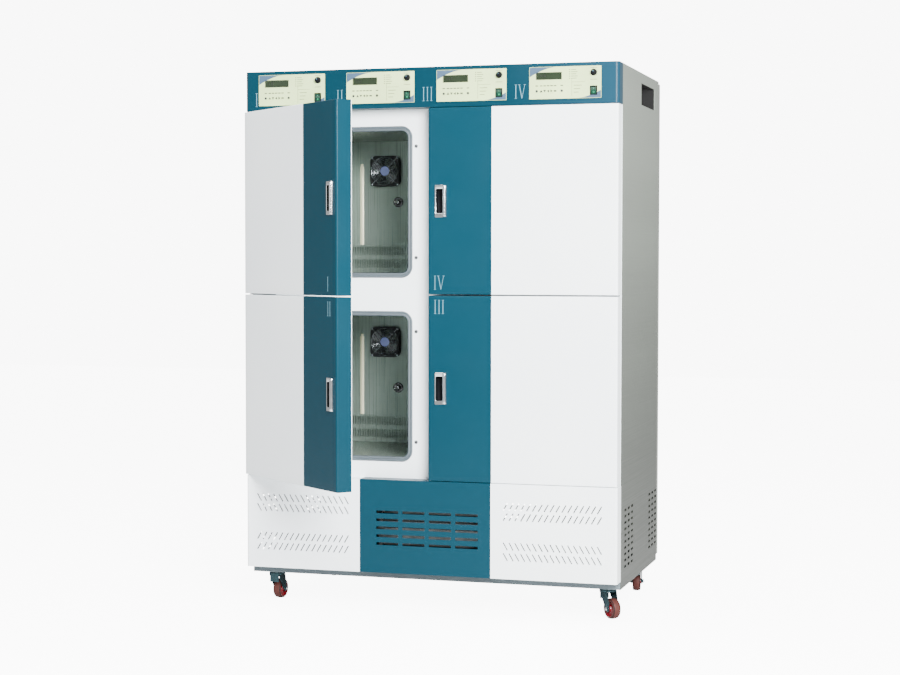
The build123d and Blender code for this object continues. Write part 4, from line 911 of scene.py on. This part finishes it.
# a stroke is a slab along a line, as wide as given; I is one upright, V two slanted ones that meet below
def numeralShell(text, left, bottom, side):
    n = numeral
    shell, x = Shell(), left
    top, foot, half = bottom + n["height"], n["foot"], n["footHeight"] / 2

    def stroke(a, b, wide):
        a, b = np.array(a, float), np.array(b, float)
        upright = abs(b[1] - a[1]) > abs(b[0] - a[0])
        across = np.array([wide / 2, 0.0]) if upright else np.array([0.0, wide / 2])
        slab(shell, [a - across, a + across, b + across, b - across], -n["proud"], n["sunk"],
             place=lambda points: onDoor(points, side))

    def footAt(middle, height):
        stroke((middle - foot, height), (middle + foot, height), n["footHeight"])

    for letter in text:
        if letter == "I":
            stroke((x, bottom), (x, top), n["stroke"])
            footAt(x, bottom + half)
            footAt(x, top - half)
            x += n["gap"]
        else:
            meet = x + n["vMeet"]
            for end, wide in ((meet - n["vHalf"], n["stroke"]), (meet + n["vHalf"], n["thin"])):
                stroke((end, top), (meet, bottom), wide)
                footAt(end, top - half)
    return shell


numeralPlaces = [
    ("header1", "I", -656.0, 1847.0, "cabinet", "right"),
    ("header2", "II", -338.0, 1851.0, "cabinet", "right"),
    ("header3", "III", -12.0, 1853.0, "cabinet", "right"),
    ("header4", "IV", 329.0, 1853.0, "cabinet", "right"),
    ("door1", "I", -65.5, 1176.0, "door_upper_left", "left"),
    ("door2", "II", -65.0, 1091.0, "door_lower_left", "left"),
    ("door3", "III", 32.0, 1091.0, "door_lower_right", "right"),
    ("door4", "IV", 31.0, 1178.0, "door_upper_right", "right"),
]
for name, text, left, bottom, body, side in numeralPlaces:
    shell = numeralShell(text, left, bottom, side)
    makePiece(f"numeral_{name}", shell, body, [plastics["numeral"]], "cream_plate")
print("stage: numerals")


# control plates: printed corners, rules, lamp column, knob scale, key glyphs and display frame, thin slabs
# in plate millimetres, X to the right and Y down from its upper left corner
platesLow, platesHigh = cabinetBox("control_plates")
plate = {"width": 258.0, "height": 112.0, "face": -2.0, "proud": 0.12, "sunk": 0.02, "knob": (231.0, 23.0),
         "window": (25.5, 20.5, 115.5, 43.5), "windowEdge": 1.6, "windowLift": 0.35}
platePitch = (platesHigh[0] - platesLow[0] - plate["width"]) / 3
keys = {"x": (27.0, 43.0, 55.5, 68.0, 80.5, 93.0, 117.0), "y": 84.5, "lift": 0.62, "labelY": 66.0,
        "label": (4.6, 1.6), "glyphs": ("ring", "up", "down", "left", "right", "bar", "ring"), "ring": 4.4,
        "bar": (4.6, 2.4), "arrow": [(0, -4.6), (4.8, 3.8), (-4.8, 3.8)],
        "turn": {"up": 0, "right": 90, "down": 180, "left": 270}}
printed = {"sweeps": ((96.0, 34.0, False), (84.0, 26.0, True)), "sweepEdge": 1.0, "sweepPower": 1.7,
           "sweepSteps": 13,
           "rules": ((152.6, 41.0, 153.4, 104.0), (153.0, 54.6, 200.0, 55.4), (219.0, 47.0, 243.0, 48.4),
                     (219.0, 6.0, 243.0, 7.2)),
           "lampX": 145.0, "lampR": 1.7, "lampSides": 10, "lineX": 150.0, "lineHalf": 0.8,
           "lamps": ((12.0, 168.0), (19.5, 173.0), (27.0, 169.0), (34.5, 174.0), (42.0, 170.0)),
           "textX": 160.0, "textHigh": 1.6, "text": ((66.0, 188.0), (78.0, 183.0), (90.0, 178.0))}
scale = {"ring": 12.0, "ringSides": 32, "ticks": 11, "from": -225.0, "step": 27.0, "near": 12.2, "far": 14.0,
         "long": 15.4, "longEach": 5, "half": 0.4}


def onPlate(outline, index):
    outline = np.asarray(outline, float)
    return np.stack([platesLow[0] + index * platePitch + outline[:, 0], platesHigh[2] - outline[:, 1]], -1)


# a corner sweep lies under a curve that falls as a power of the distance from the corner
def sweepOutline(length, height, flip):
    edge, t = printed["sweepEdge"], np.linspace(0, 1, printed["sweepSteps"])
    curve = np.stack([edge + length * t, edge + height * (1 - t) ** printed["sweepPower"]], -1)
    outline = np.concatenate([[(edge, edge)], curve])
    return (plate["width"], plate["height"]) - outline if flip else outline


def around(x, y, halfX, halfY):
    return rect(x - halfX, y - halfY, x + halfX, y + halfY)


def keyGlyph(kind, x, y):
    if kind == "ring":
        return disc(x, y, keys["ring"])
    if kind == "bar":
        return around(x, y, *keys["bar"])
    spin = math.radians(keys["turn"][kind])
    turn = np.array([[math.cos(spin), math.sin(spin)], [-math.sin(spin), math.cos(spin)]])
    return np.array(keys["arrow"]) @ turn + (x, y)


def scaleTick(tick):
    angle = math.radians(scale["from"] + tick * scale["step"])
    away = np.array([math.cos(angle), math.sin(angle)])
    along = np.array([-away[1], away[0]]) * scale["half"]
    near, far = away * scale["near"], away * scale["far" if tick % scale["longEach"] else "long"]
    return np.array([near - along, far - along, far + along, near + along]) + plate["knob"]


# each row: outline, material number, and how far it stands out beyond the print
def plateOutlines():
    for sweep in printed["sweeps"]:
        yield sweepOutline(*sweep), 0, 0.0
    for x, kind in zip(keys["x"], keys["glyphs"]):
        yield around(x, keys["labelY"], *keys["label"]), 1, 0.0
        yield keyGlyph(kind, x, keys["y"]), 1, keys["lift"]
    for box in printed["rules"]:
        yield rect(*box), 1, 0.0
    for y, end in printed["lamps"]:
        yield disc(printed["lampX"], y, printed["lampR"], printed["lampSides"]), 1, 0.0
        yield rect(printed["lineX"], y - printed["lineHalf"], end, y + printed["lineHalf"]), 1, 0.0
    for y, end in printed["text"]:
        yield rect(printed["textX"], y, end, y + printed["textHigh"]), 1, 0.0
    yield disc(*plate["knob"], scale["ring"], scale["ringSides"]), 1, 0.0
    for tick in range(scale["ticks"]):
        yield scaleTick(tick), 1, 0.0
    (x0, y0, x1, y1), edge = plate["window"], plate["windowEdge"]
    for box in ((x0 - edge, y0 - edge, x1 + edge, y0), (x0 - edge, y1, x1 + edge, y1 + edge),
                (x0 - edge, y0, x0, y1), (x1, y0, x1 + edge, y1)):
        yield rect(*box), 2, plate["windowLift"]


plateFront, plateBack = plate["face"] - plate["proud"], plate["face"] + plate["sunk"]
for index in range(4):
    shell = Shell()
    for outline, mark, lift in plateOutlines():
        slab(shell, onPlate(outline, index), plateFront - lift, plateBack, mark)
    makePiece(f"plateMarks_{index + 1}", shell, "cabinet",
              [plastics["sweep"], plastics["print"], plastics["darkFrame"]], "cream_plate")
print("stage: plate marks")


# displays: plain seven-segment figures on the glass
figures = ("37.0", "25.0", "20.5", "30.0")
segments = {"0": "abcdef", "2": "abged", "3": "abgcd", "5": "afgcd", "7": "abc"}
display = {"inset": 12.0, "drop": 26.7, "wide": 5.2, "high": 9.0, "bar": 1.1, "step": 7.4, "pointStep": 1.0,
           "front": -1.55, "back": -1.38}


# each segment's corners are worked out from the figure's width, height and bar
def figureShell(index, text):
    d = display
    w, h, t = d["wide"], d["high"], d["bar"]
    place = {"a": (0, 0, w, t), "d": (0, h - t, w, h), "g": (0, h / 2 - t / 2, w, h / 2 + t / 2),
             "f": (0, 0, t, h / 2), "b": (w - t, 0, w, h / 2), "e": (0, h / 2, t, h),
             "c": (w - t, h / 2, w, h), ".": (-t, h - t, 0, h)}
    shell, x = Shell(), plate["window"][0] + d["inset"]
    for letter in text:
        for part in segments.get(letter, letter):
            outline = np.array(rect(*place[part])) + (x, d["drop"])
            slab(shell, onPlate(outline, index), d["front"], d["back"])
        x += d["pointStep"] if letter == "." else d["step"]
    return shell


for index, text in enumerate(figures):
    makePiece(f"displayFigures_{index + 1}", figureShell(index, text), "cabinet", [plastics["figure"]],
              "circuit_board")
print("stage: displays")


# limit knobs: a skirt and a fluted grip with a pale pointer line; the profile's rows give radius, height and
# the share of the fluting
knob = {"gap": 2.3, "high": 12.8, "flutes": 18, "flute": 0.28, "steps": 144, "shaftHalf": 3.0,
        "shaft": (-2.6, 12.0), "pointer": (-0.6, 1.5, 0.6, 6.4), "pointerDeep": (-0.1, 0.6),
        "profile": [(0, 0, 0), (10.3, 0, 0), (10.6, 0.4, 0), (10.6, 2.4, 0), (9.8, 3.0, 0), (9.1, 3.2, 0),
                    (8.6, 4.0, 1), (8.2, 11.6, 1), (7.2, 12.6, 0.4), (6.4, 12.8, 0), (0, 12.5, 0)]}


# turned profile whose radius rises and falls as a cosine of the flutes' count times the angle
def knobShell(index):
    k, middle = knob, jointPlace(f"limit_knob_{index + 1}_turn")[[0, 2]]
    angle = circleAngles(k["steps"])
    radius, height, share = np.array(k["profile"]).T[:, :, None]
    r = radius + k["flute"] * share * np.cos(k["flutes"] * angle)
    y = np.broadcast_to(-k["gap"] - height, r.shape)
    points = np.stack([middle[0] + r * np.cos(angle), y, middle[1] + r * np.sin(angle)], -1)
    shell = Shell().grid(points, 0, wrapCols=True)
    front, back = [-k["gap"] - k["high"] + depth for depth in k["pointerDeep"]]
    slab(shell, rect(*k["pointer"]) + middle, front, back, 1)
    return slab(shell, around(*middle, k["shaftHalf"], k["shaftHalf"]), *k["shaft"])


for index in range(4):
    made = makePiece(f"limitKnob_{index + 1}", knobShell(index), f"limit_knob_{index + 1}",
                     [plastics["deep"], plastics["numeral"]], "black_gloss", 50)
    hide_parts(f"limit_knob_{index + 1}")
print("stage: knobs")


# marks on the rockers: a bar above and a ring below, laid on the rocker's own slanted front
rockerMark = {"bar": (0.9, 5.0), "rise": 6.0, "ring": 2.6, "ringWall": 0.8, "thick": 0.15, "steps": 24,
              "before": -40.0}


# a mark reaches from a hair before the surface that a line from the front meets to a hair behind it
def rockerShell(index):
    m, shell = rockerMark, Shell()
    mesh = frame["nodes"][f"power_rocker_{index + 1}"].data
    tree = BVHTree.FromPolygons([v.co for v in mesh.vertices], [p.vertices for p in mesh.polygons])
    x0, z0 = jointPlace(f"power_rocker_{index + 1}_rock")[[0, 2]]

    def depthAt(x, z):
        hit = tree.ray_cast(Vector(toFrame((x, m["before"], z))), Vector((0, 1, 0)))[0]
        return (hit[1] - cabinetOrigin[1]) / mm

    def laid(outline, inline):                # front outline, front inline, back inline, back outline
        levels = ((outline, -1), (inline, -1), (inline, 1), (outline, 1))
        points = np.array([[(x, depthAt(x, z) + lift * m["thick"], z) for x, z in loop]
                           for loop, lift in levels])
        shell.grid(points, 0, wrapRows=True, wrapCols=True)
        return points

    upper = (x0, z0 + m["rise"])
    bar = np.array(around(*upper, m["bar"][0] / 2, m["bar"][1] / 2))
    levels = laid(bar, (bar + upper) / 2)
    shell.cap(levels[1]).cap(levels[2])
    lower = (x0, z0 - m["rise"])
    laid(disc(*lower, m["ring"], m["steps"]), disc(*lower, m["ring"] - m["ringWall"], m["steps"]))
    return shell


for index in range(4):
    makePiece(f"rockerMarks_{index + 1}", rockerShell(index), f"power_rocker_{index + 1}",
              [plastics["greenMark"]], "green_gloss")
print("stage: rocker marks")


# caster wheels: glossy cast core with a ring groove, a broad tread with dark edges; half profiles of radius
# and distance from the wheel's middle
wheel = {"core": [(4.1, 17.4), (9.0, 17.4), (10.5, 16.2), (11.0, 12.0), (14.0, 9.0), (17.5, 8.6),
                  (18.6, 9.8), (20.4, 10.2), (21.6, 9.2), (24.0, 10.4), (26.0, 13.2), (27.0, 14.4),
                  (28.6, 14.6)],
         "tread": [(28.0, 14.8), (31.5, 15.0), (33.6, 14.2), (35.4, 12.0), (36.6, 8.0), (37.3, 3.0)],
         "edge": [(33.0, 14.2), (33.9, 14.4), (35.8, 12.1), (35.0, 11.6)], "steps": 56}


# turned about the axle: each half profile is mirrored to the other side and joined end to end
def wheelShell(origin, axle):
    shell = Shell()
    for mark, name in enumerate(("core", "tread")):
        profile = wheel[name] + [(r, -w) for r, w in wheel[name][::-1]]
        turned(shell, origin, profile, axle, wheel["steps"], mark, closed=True)
    for way in (1, -1):
        turned(shell, origin, [(r, way * w) for r, w in wheel["edge"]], axle, wheel["steps"], 2, closed=True)
    return shell


# a dome nut and washer on each end of the axle, seated on the fork
nut = {"seat": 20.4, "washer": 8.0, "thick": 1.2, "washerSteps": 28, "across": 6.6, "high": 5.0,
       "domeSteps": 24, "dome": [(0, -1.0), (4.8, -1.0), (4.8, 0.0), (4.2, 2.04), (2.4, 3.128), (0, 3.4)]}


def nutShell(origin, axle):
    shell, base = Shell(), nut["seat"] + nut["thick"]
    for end in (np.array(axle), -np.array(axle)):
        turned(shell, origin, drum(nut["washer"], nut["seat"], base), end, nut["washerSteps"])
        turned(shell, origin, drum(nut["across"], base, base + nut["high"]), end, 6)
        turned(shell, origin, moved(nut["dome"], base + nut["high"]), end, nut["domeSteps"])
    return shell


for corner in corners:
    roll = f"caster_{corner}_roll"
    origin, axle = jointPlace(roll), joints[roll]["axis"]
    made = makePiece(f"casterWheel_{corner}", wheelShell(origin, axle), f"caster_wheel_{corner}",
                     [plastics["core"], plastics["tread"], plastics["treadEdge"]], "red_tyre", 40)
    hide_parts(f"caster_wheel_{corner}")
    makePiece(f"axleNuts_{corner}", nutShell(origin, axle), f"caster_fork_{corner}", [steel["chrome"]],
              "zinc_steel")
print("stage: casters")


# cover screws: round heads with a cross, up both edges of the back cover; the cross is a black mark on the
# head, painted shade where a recessed cross would lie
backLow, backHigh = cabinetBox("back_cover")
screw = {"inset": 14.0, "first": 90.0, "count": 7, "steps": 20, "cross": (0.5, 2.4),
         "crossDeep": (1.3, 1.83), "head": [(0, -0.2), (4.2, -0.2), (4.2, 0.6), (3.15, 1.44), (0, 1.8)]}


def screwShell():
    s, shell, face = screw, Shell(), backHigh[1]
    low, high = [face + depth for depth in s["crossDeep"]]
    for x in (s["inset"] - backHigh[0], backHigh[0] - s["inset"]):
        for z in np.linspace(backLow[2] + s["first"], backHigh[2] - s["first"], s["count"]):
            turned(shell, (x, face, z), s["head"], steps=s["steps"])
            slab(shell, around(x, z, *s["cross"]), low, high, 1)
            slab(shell, around(x, z, *s["cross"][::-1]), low, high, 1)
    return shell


makePiece("backCoverScrews", screwShell(), "cabinet", [steel["zinc"], plastics["black"]], "zinc_steel")
print("stage: cover screws")
